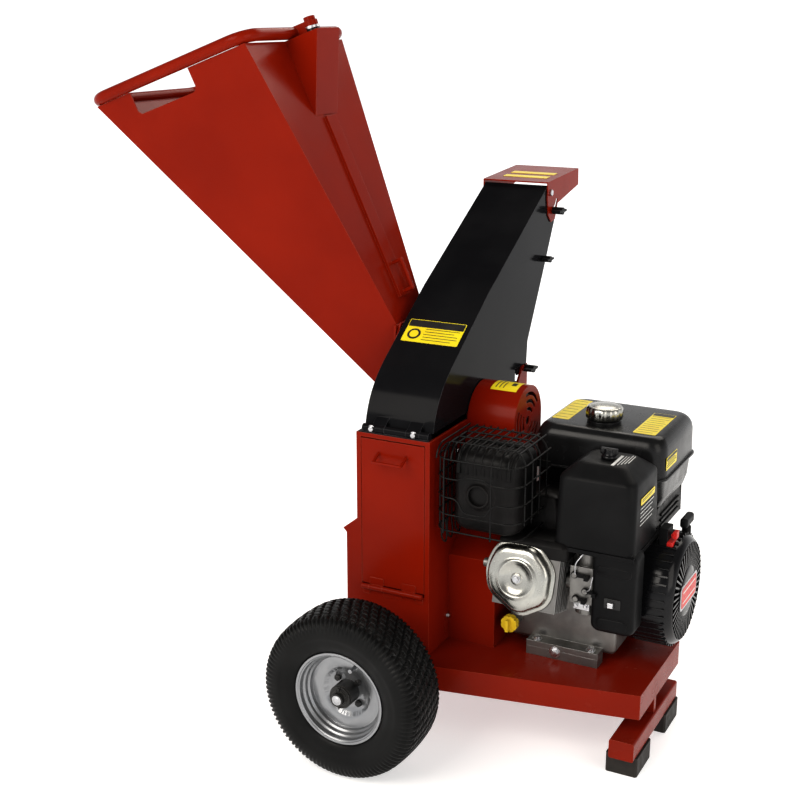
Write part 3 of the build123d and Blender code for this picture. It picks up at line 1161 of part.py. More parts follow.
lever_pin_r = 3.0
lever_specs = {
    "throttle_lever": (-183.0, 374.0, 30.0, 350.0),
    "choke_lever": (-183.0, 344.0, 24.0, 372.0),
    "fuel_lever": (-183.0, 326.0, 22.0, 354.0),
}
control_pins = Part()
lever_plate = block(340, 392, -179, -176, 316, 390)
for lever_name, (lever_y, lever_z, lever_length, lever_x) in lever_specs.items():
    arm = block(lever_x, lever_x + lever_length, lever_y - 1, lever_y + 1.5, lever_z - 4, lever_z + 4)
    arm = arm + rod_y(7, lever_y - 1, lever_y + 1.5, lever_x, lever_z)
    arm = arm + block(lever_x + lever_length - 8, lever_x + lever_length, lever_y - 12, lever_y + 1.5,
                      lever_z - 4, lever_z + 4)
    pieces[lever_name] = arm - rod_y(lever_pin_r + fit_gap, lever_y - 5, lever_y + 5, lever_x, lever_z)
    control_pins = control_pins + rod_y(lever_pin_r, lever_y - 3.5, -179, lever_x, lever_z)
    control_pins = control_pins + rod_y(5.0, lever_y - 3.5, lever_y - 1.4, lever_x, lever_z)
pieces["control_plate"] = lever_plate + control_pins

neck_x = 206.0
filler = rod_y(13, -138, case_near_y, neck_x, 226) - rod_y(10, -140, case_near_y + 1, neck_x, 226)
pieces["oil_neck"] = filler
oil_cap = rod_y(17, -152, -138.4, neck_x, 226)
for i in range(8):
    angle = 2 * pi * i / 8
    oil_cap = oil_cap - rod_y(3.5, -160, -138, neck_x + 19 * cos(angle), 226 + 19 * sin(angle))
grip_tab = block(neck_x - 3, neck_x + 3, -164, -151, 214, 238)
oil_cap = oil_cap + grip_tab + rod_y(10 - fit_gap, -138.5, -122, neck_x, 226)
pieces["oil_cap"] = oil_cap

# ---------------------------------------------------------------- pieces made as one
# Welded, cast, pressed or bolted together for good, so each group is one node.
joined = {
    "near_hub": ["near_bushes", "near_lug_bolts"],
    "far_hub": ["far_bushes", "far_lug_bolts"],
    "near_rim": ["near_valve"],
    "far_rim": ["far_valve"],
    "near_axle": ["near_axle_pin"],
    "far_axle": ["far_axle_pin"],
    "cross_tube": ["stand_post"],
    "rubber_feet": ["foot_near", "foot_far"],
    "rotor_housing": ["side_box", "door_hinge_pin"],
    "housing_door": ["door_handle"],
    "bearing_cartridge": ["cartridge_bolts"],
    "rotor_disc": ["paddles"],
    "knives": ["knife_bolts"],
    "hood_hinge_bar": ["hood_hinge_pin"],
    "hood_studs": ["latch_stud", "chute_stud", "clamp_stud", "deflector_pins"],
    "hopper": ["hopper_channel", "hopper_loop"],
    "switch_box": ["bar_pin"],
    "crankcase": ["cylinder", "fan_plate", "oil_neck", "tank_brackets", "air_bracket", "cowl_bracket"],
    "engine_rails": ["rail_bolts"],
    "cylinder_head": ["spark_plug"],
    "valve_cover": ["cover_bolt"],
    "muffler": ["exhaust_pipe"],
    "recoil_housing": ["switch_box_engine"],
    "recoil_grip": ["recoil_rope"],
    "air_cleaner_base": ["filter_element", "air_stud"],
    "carburettor": ["intake_pipe", "control_plate"],
}
for node_name, members in joined.items():
    solid = Part() + pieces.pop(node_name) if node_name in pieces else Part()
    for member in members:
        solid = solid + pieces.pop(member)
    pieces[node_name] = solid

# ---------------------------------------------------------------- centre the whole thing and write it out
whole = Compound(children=[Part() + piece for piece in pieces.values()]).bounding_box()
shift_x = -(whole.min.X + whole.max.X) / 2
shift_y = -(whole.min.Y + whole.max.Y) / 2
shift_z = -whole.min.Z
for piece_name in pieces:
    pieces[piece_name] = Pos(shift_x, shift_y, shift_z) * (Part() + pieces[piece_name])
    export_step(pieces[piece_name], "parts/" + piece_name + ".step")
print(len(pieces), "nodes written, moved by", round(shift_x, 3), round(shift_y, 3), round(shift_z, 3))
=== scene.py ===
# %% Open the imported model
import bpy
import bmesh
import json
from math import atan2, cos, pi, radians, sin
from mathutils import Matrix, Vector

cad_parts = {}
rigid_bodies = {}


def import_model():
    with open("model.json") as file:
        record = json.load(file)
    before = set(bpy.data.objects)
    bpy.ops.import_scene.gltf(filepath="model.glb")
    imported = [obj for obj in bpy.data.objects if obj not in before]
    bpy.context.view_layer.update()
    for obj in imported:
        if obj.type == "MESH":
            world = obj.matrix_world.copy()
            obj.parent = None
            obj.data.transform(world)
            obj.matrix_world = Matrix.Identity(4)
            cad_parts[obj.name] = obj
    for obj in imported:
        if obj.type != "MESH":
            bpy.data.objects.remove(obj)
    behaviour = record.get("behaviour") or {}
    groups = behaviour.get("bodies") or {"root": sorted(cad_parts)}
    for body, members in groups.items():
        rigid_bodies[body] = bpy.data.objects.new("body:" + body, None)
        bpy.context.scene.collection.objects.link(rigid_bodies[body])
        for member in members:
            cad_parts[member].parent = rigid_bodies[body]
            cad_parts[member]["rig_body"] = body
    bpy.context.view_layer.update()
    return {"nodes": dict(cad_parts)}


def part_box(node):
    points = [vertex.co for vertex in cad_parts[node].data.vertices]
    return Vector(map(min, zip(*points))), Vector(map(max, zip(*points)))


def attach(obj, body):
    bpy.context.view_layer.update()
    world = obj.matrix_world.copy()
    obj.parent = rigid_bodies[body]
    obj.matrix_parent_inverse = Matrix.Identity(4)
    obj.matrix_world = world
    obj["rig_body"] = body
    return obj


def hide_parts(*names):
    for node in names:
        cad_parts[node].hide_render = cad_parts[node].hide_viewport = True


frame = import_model()

# %% [markdown]
# # A petrol wood chipper on two wheels
# The fixed frame holds every piece that carries load or moves, in metres. Here each one gets its real
# finish, and the pieces whose shape matters to the eye are built again in finer mesh and ride on the same
# bodies. Sizes are easiest to read in millimetres from the wheel axle, so one small helper turns them into
# the frame.

near_low, near_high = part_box("near_tyre")
far_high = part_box("far_tyre")[1]
axle_x = (near_low.x + near_high.x) / 2
middle_y = (near_low.y + far_high.y) / 2


def at(x, y, z):
    """Millimetres from the axle line, the middle plane and the ground, as a point in the frame."""
    return Vector((axle_x + x / 1000, middle_y + y / 1000, z / 1000))


print("axle at", round(axle_x, 4), "middle plane at", round(middle_y, 4))

# %% [markdown]
# ## A recipe for finishes
# Paint, plastic and metal all vary in the same few ways: slow patches of colour, a fine grain that catches
# the light, gloss that is a little uneven, and lighter edges, partly bare or dull where things rub and partly
# a painted highlight along folds and tread edges. Writing one recipe with those dials keeps every finish
# procedural. The bevel node rounds each hard edge in the shading only, so that a sheet-metal corner shows the
# thin highlight of a real bend without touching the fixed meshes.

# %% The recipe
finishes = {}
bend_radius = 0.0012


def add_node(tree, kind, values=(), wires=(), **options):
    """Add a node with its options, set some of its inputs, and wire others from sockets made before."""
    node = tree.nodes.new(kind)
    for option, choice in options.items():
        setattr(node, option, choice)
    for name, value in dict(values).items():
        node.inputs[name].default_value = value
    for name, socket in dict(wires).items():
        tree.links.new(socket, node.inputs[name])
    return node


def make_finish(name, colour, second, rough, spread=0.06, metal=0.0, grain=900.0, height=0.02,
                patch=6.0,
                shine=0.3, index=1.5, edge=None, edge_amount=0.5, dust=0.0, stretch=(1, 1, 1)):
    made = bpy.data.materials.new(name)
    made.use_nodes = True
    tree = made.node_tree
    shader = tree.nodes["Principled BSDF"]
    place = add_node(tree, "ShaderNodeTexCoord").outputs["Object"]
    squeeze = add_node(tree, "ShaderNodeMapping", {"Scale": stretch}, {"Vector": place}).outputs["Vector"]

    patches = add_node(tree, "ShaderNodeTexNoise", {"Scale": patch, "Detail": 5.0}, {"Vector": squeeze})
    contrast = add_node(tree, "ShaderNodeMapRange", {"From Min": 0.35, "From Max": 0.65},
                        {"Value": patches.outputs["Fac"]}).outputs["Result"]
    top_colour = add_node(tree, "ShaderNodeMix", {"A": (*colour, 1), "B": (*second, 1)},
                          {"Factor": contrast}, data_type="RGBA").outputs["Result"]

    soften = add_node(tree, "ShaderNodeBevel", {"Radius": bend_radius}, samples=4).outputs["Normal"]
    fine = add_node(tree, "ShaderNodeTexNoise", {"Scale": grain, "Detail": 3.0}, {"Vector": squeeze})
    relief = add_node(tree, "ShaderNodeBump", {"Strength": 1.0, "Distance": height / 1000},
                      {"Height": fine.outputs["Fac"], "Normal": soften})
    tree.links.new(relief.outputs["Normal"], shader.inputs["Normal"])

    gloss = add_node(tree, "ShaderNodeTexNoise", {"Scale": patch * 4, "Detail": 6.0},
                     {"Vector": squeeze}).outputs["Fac"]
    top_rough = add_node(tree, "ShaderNodeMapRange",
                         {"From Min": 0.3, "From Max": 0.7, "To Min": max(rough - spread, 0.02),
                          "To Max": min(rough + spread, 1.0)}, {"Value": gloss}).outputs["Result"]

    # Lighter edge colour where the bevel normal turns away from the face: partly wear, partly a painted
    # highlight along folds and edges.
    if edge is not None:
        facing = add_node(tree, "ShaderNodeNewGeometry").outputs["Normal"]
        compare = add_node(tree, "ShaderNodeVectorMath", {}, {0: soften, 1: facing}, operation="DOT_PRODUCT")
        edge_wear_and_highlight = add_node(tree, "ShaderNodeMapRange", {"From Min": 0.985, "From Max": 0.86},
                          {"Value": compare.outputs["Value"]}).outputs["Result"]
        broken = add_node(tree, "ShaderNodeMath", {}, {0: edge_wear_and_highlight, 1: contrast}, operation="MULTIPLY")
        amount = add_node(tree, "ShaderNodeMath", {1: edge_amount}, {0: broken.outputs["Value"]},
                          operation="MULTIPLY").outputs["Value"]
        top_colour = add_node(tree, "ShaderNodeMix", {"B": (*edge, 1)}, {"Factor": amount, "A": top_colour},
                              data_type="RGBA").outputs["Result"]

    if dust > 0:
        split = add_node(tree, "ShaderNodeSeparateXYZ", {}, {"Vector": place})
        low = add_node(tree, "ShaderNodeMapRange", {"From Min": 0.35, "From Max": 0.0, "To Max": dust},
                       {"Value": split.outputs["Z"]}).outputs["Result"]
        scatter = add_node(tree, "ShaderNodeMath", {}, {0: low, 1: gloss},
                           operation="MULTIPLY").outputs["Value"]
        top_colour = add_node(tree, "ShaderNodeMix", {"B": (0.28, 0.22, 0.17, 1)},
                              {"Factor": scatter, "A": top_colour}, data_type="RGBA").outputs["Result"]
        top_rough = add_node(tree, "ShaderNodeMath", {}, {0: top_rough, 1: scatter},
                             operation="ADD").outputs["Value"]

    tree.links.new(top_colour, shader.inputs["Base Color"])
    tree.links.new(top_rough, shader.inputs["Roughness"])
    shader.inputs["Metallic"].default_value = metal
    shader.inputs["IOR"].default_value = index
    shader.inputs["Specular IOR Level"].default_value = shine
    finishes[name] = made
    return made


print("recipe ready")

# %% [markdown]
# ## The finishes on this machine
# The sheet steel is powder coated in a warm red: glossy, with the faint orange-peel of baked powder. The
# chute is the same coating in black. The engine mixes black plastic, stoved black steel, cast aluminium,
# and bright plate. Each is the recipe with its own dials rather than a separate tree, so a reader can
# compare them line by line.

# %% Paints and platings
# The lighter edge colours on the coats are partly rubbed paint and partly a painted highlight along the
# folds.
make_finish("red_powder_coat", (0.205, 0.0110, 0.0022), (0.176, 0.0088, 0.0018), 0.22, 0.05,
            grain=420, height=0.03,
            patch=5, shine=0.13, index=1.35, edge=(0.50, 0.10, 0.06), edge_amount=0.8, dust=0.05)
make_finish("black_powder_coat", (0.006, 0.006, 0.007), (0.010, 0.010, 0.011), 0.14, 0.04, grain=420,
            height=0.03, patch=7, shine=0.3, index=1.17, edge=(0.16, 0.16, 0.17), edge_amount=0.7)
make_finish("silver_rim_paint", (0.31, 0.315, 0.325), (0.27, 0.275, 0.285), 0.31, 0.02, metal=0.85,
            grain=1400,
            height=0.01, patch=12, edge=(0.6, 0.6, 0.62))
make_finish("black_hub_paint", (0.012, 0.012, 0.012), (0.022, 0.021, 0.02), 0.36, 0.08, grain=700,
            height=0.03,
            patch=20, edge=(0.2, 0.19, 0.18))
make_finish("zinc_plate", (0.56, 0.56, 0.58), (0.45, 0.45, 0.46), 0.3, 0.1, metal=1.0, grain=600,
            height=0.02,
            patch=40, edge=(0.75, 0.75, 0.76))
make_finish("ground_steel", (0.40, 0.40, 0.41), (0.30, 0.29, 0.28), 0.32, 0.1, metal=1.0, grain=1200,
            height=0.02, patch=25, stretch=(1, 1, 6), edge=(0.6, 0.6, 0.6))
make_finish("dark_cast_iron", (0.07, 0.07, 0.07), (0.11, 0.10, 0.095), 0.55, 0.1, metal=0.7,
            grain=260,
            height=0.12, patch=18, edge=(0.3, 0.29, 0.28))
make_finish("cast_aluminium", (0.23, 0.225, 0.215), (0.155, 0.15, 0.145), 0.42, 0.09, metal=0.85,
            grain=330,
            height=0.10, patch=16, edge=(0.68, 0.68, 0.68), edge_amount=0.6)
make_finish("bright_chrome", (0.44, 0.435, 0.40), (0.36, 0.355, 0.33), 0.25, 0.05, metal=1.0,
            grain=500,
            height=0.006, patch=14)
make_finish("stoved_black", (0.005, 0.005, 0.005), (0.010, 0.009, 0.009), 0.45, 0.1, shine=0.14,
            grain=500,
            height=0.06, patch=14, edge=(0.10, 0.09, 0.085))
make_finish("cage_wire", (0.004, 0.004, 0.0045), (0.007, 0.0068, 0.0065), 0.35, 0.08, shine=0.18,
            grain=700,
            height=0.03, patch=20)
print(len(finishes), "finishes so far")

# %% Plastics and rubbers
make_finish("gloss_black_plastic", (0.006, 0.006, 0.007), (0.009, 0.009, 0.010), 0.16, 0.04,
            grain=700,
            height=0.008, patch=8, shine=0.24, edge=(0.08, 0.08, 0.085), edge_amount=0.5)
make_finish("tank_black", (0.008, 0.008, 0.008), (0.012, 0.012, 0.013), 0.25, 0.06, grain=900,
            height=0.02,
            patch=7, shine=0.22, edge=(0.09, 0.09, 0.09), edge_amount=0.5)
make_finish("grained_black_plastic", (0.006, 0.006, 0.0065), (0.010, 0.010, 0.0105), 0.42, 0.06,
            grain=1500,
            height=0.03, patch=9, shine=0.3, index=1.25, edge=(0.08, 0.08, 0.085), edge_amount=0.5)
# The tyre's lighter edge colour is a painted highlight on the edges of the tread blocks.
make_finish("tyre_rubber", (0.0045, 0.0045, 0.0045), (0.008, 0.008, 0.008), 0.42, 0.1, grain=800,
            height=0.06,
            patch=14, shine=0.15, edge=(0.12, 0.12, 0.12), edge_amount=0.8)
make_finish("foot_rubber", (0.010, 0.010, 0.010), (0.018, 0.017, 0.016), 0.55, 0.1, shine=0.2,
            grain=600, height=0.08,
            patch=20, edge=(0.07, 0.065, 0.06), dust=0.08)
make_finish("belt_rubber", (0.02, 0.02, 0.02), (0.032, 0.03, 0.028), 0.6, 0.08, grain=600,
            height=0.08, patch=30)
make_finish("yellow_plastic", (0.72, 0.52, 0.03), (0.66, 0.44, 0.02), 0.38, 0.06, grain=900,
            height=0.02,
            patch=22, edge=(0.85, 0.7, 0.2))
make_finish("red_plastic", (0.62, 0.02, 0.015), (0.5, 0.015, 0.012), 0.32, 0.06, grain=900,
            height=0.02, patch=22)
make_finish("white_print", (0.72, 0.72, 0.70), (0.62, 0.62, 0.60), 0.42, 0.05, grain=900,
            height=0.01, patch=30)
make_finish("black_print", (0.012, 0.012, 0.012), (0.02, 0.02, 0.02), 0.45, 0.05, grain=900,
            height=0.01, patch=30)
make_finish("yellow_print", (0.80, 0.66, 0.02), (0.76, 0.58, 0.02), 0.34, 0.05, grain=900,
            height=0.01, patch=20)
print(len(finishes), "finishes in all")

# %% [markdown]
# ## Dress the fixed pieces
# A piece whose engineering shape is already what the eye should see only needs its material slot filled.
# The others are listed too, because the fixed piece stays for any that isn't rebuilt below.

# %% Fill the slots
dress = {
    "red_powder_coat": "base_plate cross_tube rotor_housing housing_door belt_guard deflector hopper "
                       "safety_bar switch_box",
    "black_powder_coat": "hood hood_hinge_bar",
    "silver_rim_paint": "near_rim far_rim",
    "black_hub_paint": "near_hub far_hub near_axle far_axle",
    "zinc_plate": "foot_bolts hood_studs",
    "ground_steel": "knives bed_knife rotor_shaft rotor_bearings main_bearings crankshaft",
    "dark_cast_iron": "rotor_disc rotor_pulley engine_pulley flywheel bearing_cartridge scroll_liner "
                      "recoil_spool",
    "cast_aluminium": "engine_rails crankcase cylinder_head carburettor",
    "bright_chrome": "valve_cover fuel_cap",
    "stoved_black": "muffler",
    "cage_wire": "muffler_cage",
    "gloss_black_plastic": "recoil_housing",
    "tank_black": "fuel_tank",
    "grained_black_plastic": "air_cleaner_cover air_cleaner_base air_knob control_cowl latch_knob "
                             "chute_knob clamp_knob recoil_grip throttle_lever choke_lever fuel_lever",
    "tyre_rubber": "near_tyre far_tyre",
    "foot_rubber": "rubber_feet",
    "belt_rubber": "drive_belts",
    "yellow_plastic": "oil_cap",
    "red_plastic": "engine_switch",
}
dressed = 0
for finish_name, node_names in dress.items():
    for node_name in node_names.split():
        shown = frame["nodes"][node_name]
        if len(shown.material_slots) == 0:
            shown.data.materials.append(finishes[finish_name])
        for place_slot in shown.material_slots:
            place_slot.material = finishes[finish_name]
        dressed += 1
print(dressed, "fixed pieces dressed of", len(frame["nodes"]))

# %% [markdown]
# ## Tools for shaping pieces
# Nearly everything on the engine is a moulding or a pressing: a closed outline that changes a little from
# one level to the next. Lofting rings of points, one ring per level, makes all of them, and the same list
# of rings makes turned pieces when the rings are circles. A bevel modifier then rounds the edges by a real
# amount, so the highlights come from the mesh itself. Pieces ride on the body of the fixed piece that they
# stand for or sit on.

# %% Rings, lofts and finished pieces
def new_shape():
    return {"points": [], "faces": []}


def add_rings(shape, rings, first_cap=True, last_cap=True, closed=False):
    """Join equal rings of points with four-sided faces, and close the ends if asked."""
    start = len(shape["points"])
    count = len(rings[0])
    for ring in rings:
        shape["points"].extend(ring)
    levels = len(rings)
    for level in range(levels if closed else levels - 1):
        low = start + level * count
        high = start + ((level + 1) % levels) * count
        for i in range(count):
            j = (i + 1) % count
            shape["faces"].append((low + i, low + j, high + j, high + i))
    if first_cap and not closed:
        shape["faces"].append(tuple(reversed(range(start, start + count))))
    if last_cap and not closed:
        top = start + (levels - 1) * count
        shape["faces"].append(tuple(range(top, top + count)))
    return shape


def finish_piece(name, shape, finish, node, stands_for=(), bevel=0.0, sharp=35):
    """Make the mesh, smooth it, give it its finish and fix it to the body that carries the named node."""
    mesh = bpy.data.meshes.new(name)
    mesh.from_pydata([tuple(p) for p in shape["points"]], [], shape["faces"])
    work = bmesh.new()
    work.from_mesh(mesh)
    bmesh.ops.remove_doubles(work, verts=work.verts, dist=1e-6)
    bmesh.ops.recalc_face_normals(work, faces=work.faces)
    work.to_mesh(mesh)
    work.free()
    mesh.materials.append(finishes[finish])
    mesh.polygons.foreach_set("use_smooth", [True] * len(mesh.polygons))
    mesh.set_sharp_from_angle(angle=radians(sharp))
    made = bpy.data.objects.new(name, mesh)
    bpy.context.collection.objects.link(made)
    if bevel > 0:
        rounding = made.modifiers.new("rounded_edges", "BEVEL")
        rounding.width = bevel / 1000
        rounding.segments = 3
        rounding.limit_method = "ANGLE"
        rounding.angle_limit = radians(sharp)
        rounding.harden_normals = True
    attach(made, frame["nodes"][node]["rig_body"])
    if stands_for:
        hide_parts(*stands_for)
    return made


def oblong(u0, u1, v0, v1, radius, steps=6):
    """A rectangle with round corners, as a list of points."""
    outline = []
    for cu, cv, start in ((u1 - radius, v1 - radius, 0), (u0 + radius, v1 - radius, 90),
                          (u0 + radius, v0 + radius, 180), (u1 - radius, v0 + radius, 270)):
        for i in range(steps + 1):
            turn = radians(start + 90 * i / steps)
            outline.append((cu + radius * cos(turn), cv + radius * sin(turn)))
    return outline


def round_ring(centre, side, up, radius, steps=48):
    """A circle of points in the plane of two unit directions."""
    return [centre + (side * cos(2 * pi * i / steps) + up * sin(2 * pi * i / steps)) * (radius / 1000)
            for i in range(steps)]


across = Vector((1, 0, 0))
along = Vector((0, 1, 0))
upward = Vector((0, 0, 1))


def add_turned(shape, centre, axis, profile, steps=48, first_cap=True, last_cap=True):
    """Turn a profile of (height, radius) in millimetres about an axis through a centre."""
    helper = upward if abs(axis.z) < 0.9 else across
    side = axis.cross(helper).normalized()
    up = axis.cross(side).normalized()
    rings = [round_ring(centre + axis * (h / 1000), side, up, r, steps) for h, r in profile]
    return add_rings(shape, rings, first_cap, last_cap)


def add_block(shape, low, high):
    """A plain box between two corners in millimetres; the bevel rounds it afterwards."""
    x0, y0, z0 = low
    x1, y1, z1 = high
    rings = [[at(x0, y0, z), at(x1, y0, z), at(x1, y1, z), at(x0, y1, z)] for z in (z0, z1)]
    return add_rings(shape, rings)


def bent_wire(name, runs, radius, finish, node, stands_for=(), bend=0.0):
    """Round wire along several open or closed runs of points in millimetres."""
    line = bpy.data.curves.new(name, "CURVE")
    line.dimensions = "3D"
    line.bevel_depth = radius / 1000
    line.bevel_resolution = 3
    line.use_fill_caps = True
    for points in runs:
        shown = []
        for i, p in enumerate(points):
            p = Vector(p)
            if 0 < i < len(points) - 1 and bend > 0:
                before = (Vector(points[i - 1]) - p)
                after = (Vector(points[i + 1]) - p)
                cut = min(bend, before.length * 0.45, after.length * 0.45)
                a = p + before.normalized() * cut
                b = p + after.normalized() * cut
                for t in (0.0, 0.25, 0.5, 0.75, 1.0):
                    shown.append(a * (1 - t) ** 2 + p * 2 * t * (1 - t) + b * t ** 2)
            else:
                shown.append(p)
        spline = line.splines.new("POLY")
        spline.points.add(len(shown) - 1)
        for place, p in zip(spline.points, shown):
            place.co = (*at(*p), 1)
    line.materials.append(finishes[finish])
    made = bpy.data.objects.new(name, line)
    bpy.context.collection.objects.link(made)
    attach(made, frame["nodes"][node]["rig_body"])
    if stands_for:
        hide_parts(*stands_for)
    return made


print("shaping tools ready")

# %% [markdown]
# ## Smooth pressings
# A few fixed pieces already have the right shape but arrive as flat facets. Copying the mesh, welding it
# and marking only the steep edges sharp gives curved steel its smooth shading while folds stay crisp. The
# rims need one thing more: a real pressed rim steps inward in bands, so its straight barrel is sliced by
# flat planes and each slice is pushed out to the radius of its band.

# %% Weld and smooth the curved sheet pieces


def smooth_copy(node, finish, angle, reshape=None):
    """Weld a fixed piece into smooth sheet, with its edges steeper than an angle left sharp."""
    source = frame["nodes"][node]
    mesh = source.data.copy()
    work = bmesh.new()
    work.from_mesh(mesh)
    bmesh.ops.remove_doubles(work, verts=work.verts, dist=2e-6)
    bmesh.ops.dissolve_limit(work, angle_limit=radians(0.6), verts=work.verts, edges=work.edges)
    if reshape:
        reshape(work, node)
    work.to_mesh(mesh)
    work.free()
    if "custom_normal" in mesh.attributes:
        mesh.attributes.remove(mesh.attributes["custom_normal"])
    mesh.materials.clear()
    mesh.materials.append(finishes[finish])
    mesh.polygons.foreach_set("use_smooth", [True] * len(mesh.polygons))
    mesh.set_sharp_from_angle(angle=radians(angle))
    made = bpy.data.objects.new(node + "_pressing", mesh)
    bpy.context.collection.objects.link(made)
    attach(made, source["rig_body"])
    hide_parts(node)
    return made


def stepped_barrel(work, node):
    """Slice the straight barrel into bands, then give each band the radius of a real pressed rim."""
    low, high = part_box(node)
    middle = (low + high) / 2
    barrel_radius = 73.5
    rim_sheet = 2.5
    bands = [(53.0, 88.0), (51.2, 87.6), (50.0, 86.2), (49.2, 84.6), (40.5, 84.0), (39.0, 83.2), (37.5, 80.4),
             (36.0, 79.4), (31.5, 79.0), (30.0, 78.2), (28.5, 75.2), (27.0, 74.2),
             (24.0, barrel_radius), (0.0, barrel_radius)]
    for depth, _ in bands[1:-1]:
        for side in (-1, 1):
            everything = work.verts[:] + work.edges[:] + work.faces[:]
            bmesh.ops.bisect_plane(work, geom=everything, dist=1e-6, plane_no=(0, 1, 0),
                                   plane_co=middle + Vector((0, side * depth / 1000, 0)))
    for vert in work.verts:
        out = Vector((vert.co.x - middle.x, 0, vert.co.z - middle.z))
        radius = out.length * 1000
        depth = abs(vert.co.y - middle.y) * 1000
        if barrel_radius - 0.3 < radius < barrel_radius + 4.5:
            for (deep, wide), (shallow, narrow) in zip(bands, bands[1:]):
                if shallow <= depth <= deep:
                    wanted = narrow + (wide - narrow) * (depth - shallow) / (deep - shallow)
                    break
            wanted += rim_sheet if radius > barrel_radius + 1.5 else 0.0
            vert.co += out * (wanted / radius - 1)


for node in ("near_rim", "far_rim"):
    smooth_copy(node, "silver_rim_paint", 50, reshape=stepped_barrel)
for node in ("near_hub", "far_hub"):
    smooth_copy(node, "black_hub_paint", 25)
smooth_copy("hood", "black_powder_coat", 22)
smooth_copy("belt_guard", "red_powder_coat", 25)
smooth_copy("safety_bar", "red_powder_coat", 35)
print("six pressings and the tube welded smooth")

# %% [markdown]
# ## Turf tyres
# A turf tyre has rows of small S-shaped blocks on a nearly flat crown and short bars over its shoulders.
# Separate blocks stuck on a torus would leave gaps, so the tread is a height rule on one fine grid: the
# rule says how high the rubber stands at each place along and across, and the grid follows it. The sidewall
# rings are in the profile.

# %% Tread rule
wheel_radius = 165.0
tread_count = 52
tread_pitch = 2 * pi * wheel_radius / tread_count
row_width = 14.5


def ramp(value, soft):
    return min(max(value / soft + 0.5, 0.0), 1.0)


def tread_height(s, y):
    """Height in millimetres above the groove floor, for a place along the tread and across it."""
    if abs(y) < row_width * 3.05:
        row = int((y + row_width * 3.5) // row_width)
        local = (y + row_width * 3.5) / row_width - row - 0.5
        place = s / tread_pitch + 0.5 * (row % 2) + 0.17 * row
        phase = place - int(place) - 0.5
        centre = 0.17 * sin(2 * pi * local)
        inside = ramp(0.31 - abs(phase - centre), 0.08) * ramp(0.43 - abs(local), 0.08)
        return 5.0 * inside
    bars = s / (tread_pitch * 0.5) + (0.25 if y > 0 else 0.0) + 0.02 * abs(y)
    phase = bars - int(bars) - 0.5
    return 4.2 * ramp(0.27 - abs(phase), 0.14)


def build_tyre(name, node, centre_y):
    """Carry the section round the wheel; its points marked 1 rise by the tread rule."""
    half_profile = [(45.0, 92.4), (50.2, 92.7), (54.2, 97.5), (57.3, 105.0), (58.6, 108.4), (59.2, 110.6),
                    (60.5, 116.0), (61.6, 122.0), (62.4, 124.0), (62.9, 128.0), (62.9, 132.0)]
    shoulder = [(62.6, 136.5), (61.8, 140.5), (60.4, 144.5), (58.4, 148.3), (56.0, 151.5), (53.2, 154.2),
                (50.2, 156.2)]
    crown_half = 48
    crown_count = 58
    crown = [-crown_half + 2 * crown_half * i / crown_count for i in range(crown_count + 1)]
    section = [(-y, r, 0) for y, r in half_profile] + [(-y, r, 1) for y, r in shoulder]
    section += [(y, 160.0 - 3.0 * (y / crown_half) ** 2, 1) for y in crown]
    section += [(y, r, 1) for y, r in reversed(shoulder)] + [(y, r, 0) for y, r in reversed(half_profile)]
    section += [(40.0, 92.6, 0), (38.0, 100.0, 0), (-38.0, 100.0, 0), (-40.0, 92.6, 0)]
    steps = tread_count * 12
    rings = []
    for i in range(steps):
        turn = 2 * pi * i / steps
        s = wheel_radius * turn
        ring = []
        for y, r, grown in section:
            if grown:
                fade = min(max((r - 134.0) / 6.0, 0.0), 1.0)
                r = r + tread_height(s, y) * fade
            ring.append(at(r * cos(turn), centre_y + y, wheel_radius + r * sin(turn)))
        rings.append(ring)
    shape = add_rings(new_shape(), rings, closed=True)
    return finish_piece(name, shape, "tyre_rubber", node, (node,), sharp=60)


def middle_across(node):
    low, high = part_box(node)
    return (low.y + high.y) / 2 * 1000 - middle_y * 1000


near_middle = middle_across("near_tyre")
far_middle = middle_across("far_tyre")
build_tyre("near_turf_tyre", "near_tyre", near_middle)
build_tyre("far_turf_tyre", "far_tyre", far_middle)
print("tyre middle planes at", round(near_middle), round(far_middle))

# %% [markdown]
# ## Fuel tank
# The tank is two steel pressings rolled together at a seam flange: a domed upper half with broad sloped
# shoulders and a shallower lower half. One loft of rounded rectangles makes both, and steps outward for the
# flange between them. The filler neck is turned, and the cap is a turned shape with scallops pressed into
# its rim.

# %% Two pressings and a seam
tank_low, tank_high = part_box("fuel_tank")


def mm(corner):
    """A frame point back in millimetres from the axle."""
    return ((corner.x - axle_x) * 1000, (corner.y - middle_y) * 1000, corner.z * 1000)


seam_flange = 3
tank_x0, tank_y0 = [v + seam_flange for v in mm(tank_low)[:2]]
tank_x1, tank_y1 = [v - seam_flange for v in mm(tank_high)[:2]]


def add_levels(shape, levels, x0, x1, y0, y1, first_cap=True, last_cap=True):
    """Rounded rectangles at rising heights, each with its inset and corner radius."""
    rings = []
    for z, inset, radius in levels:
        rings.append([at(x, y, z) for x, y in oblong(x0 + inset, x1 - inset, y0 + inset, y1 - inset, radius)])
    return add_rings(shape, rings, first_cap, last_cap)


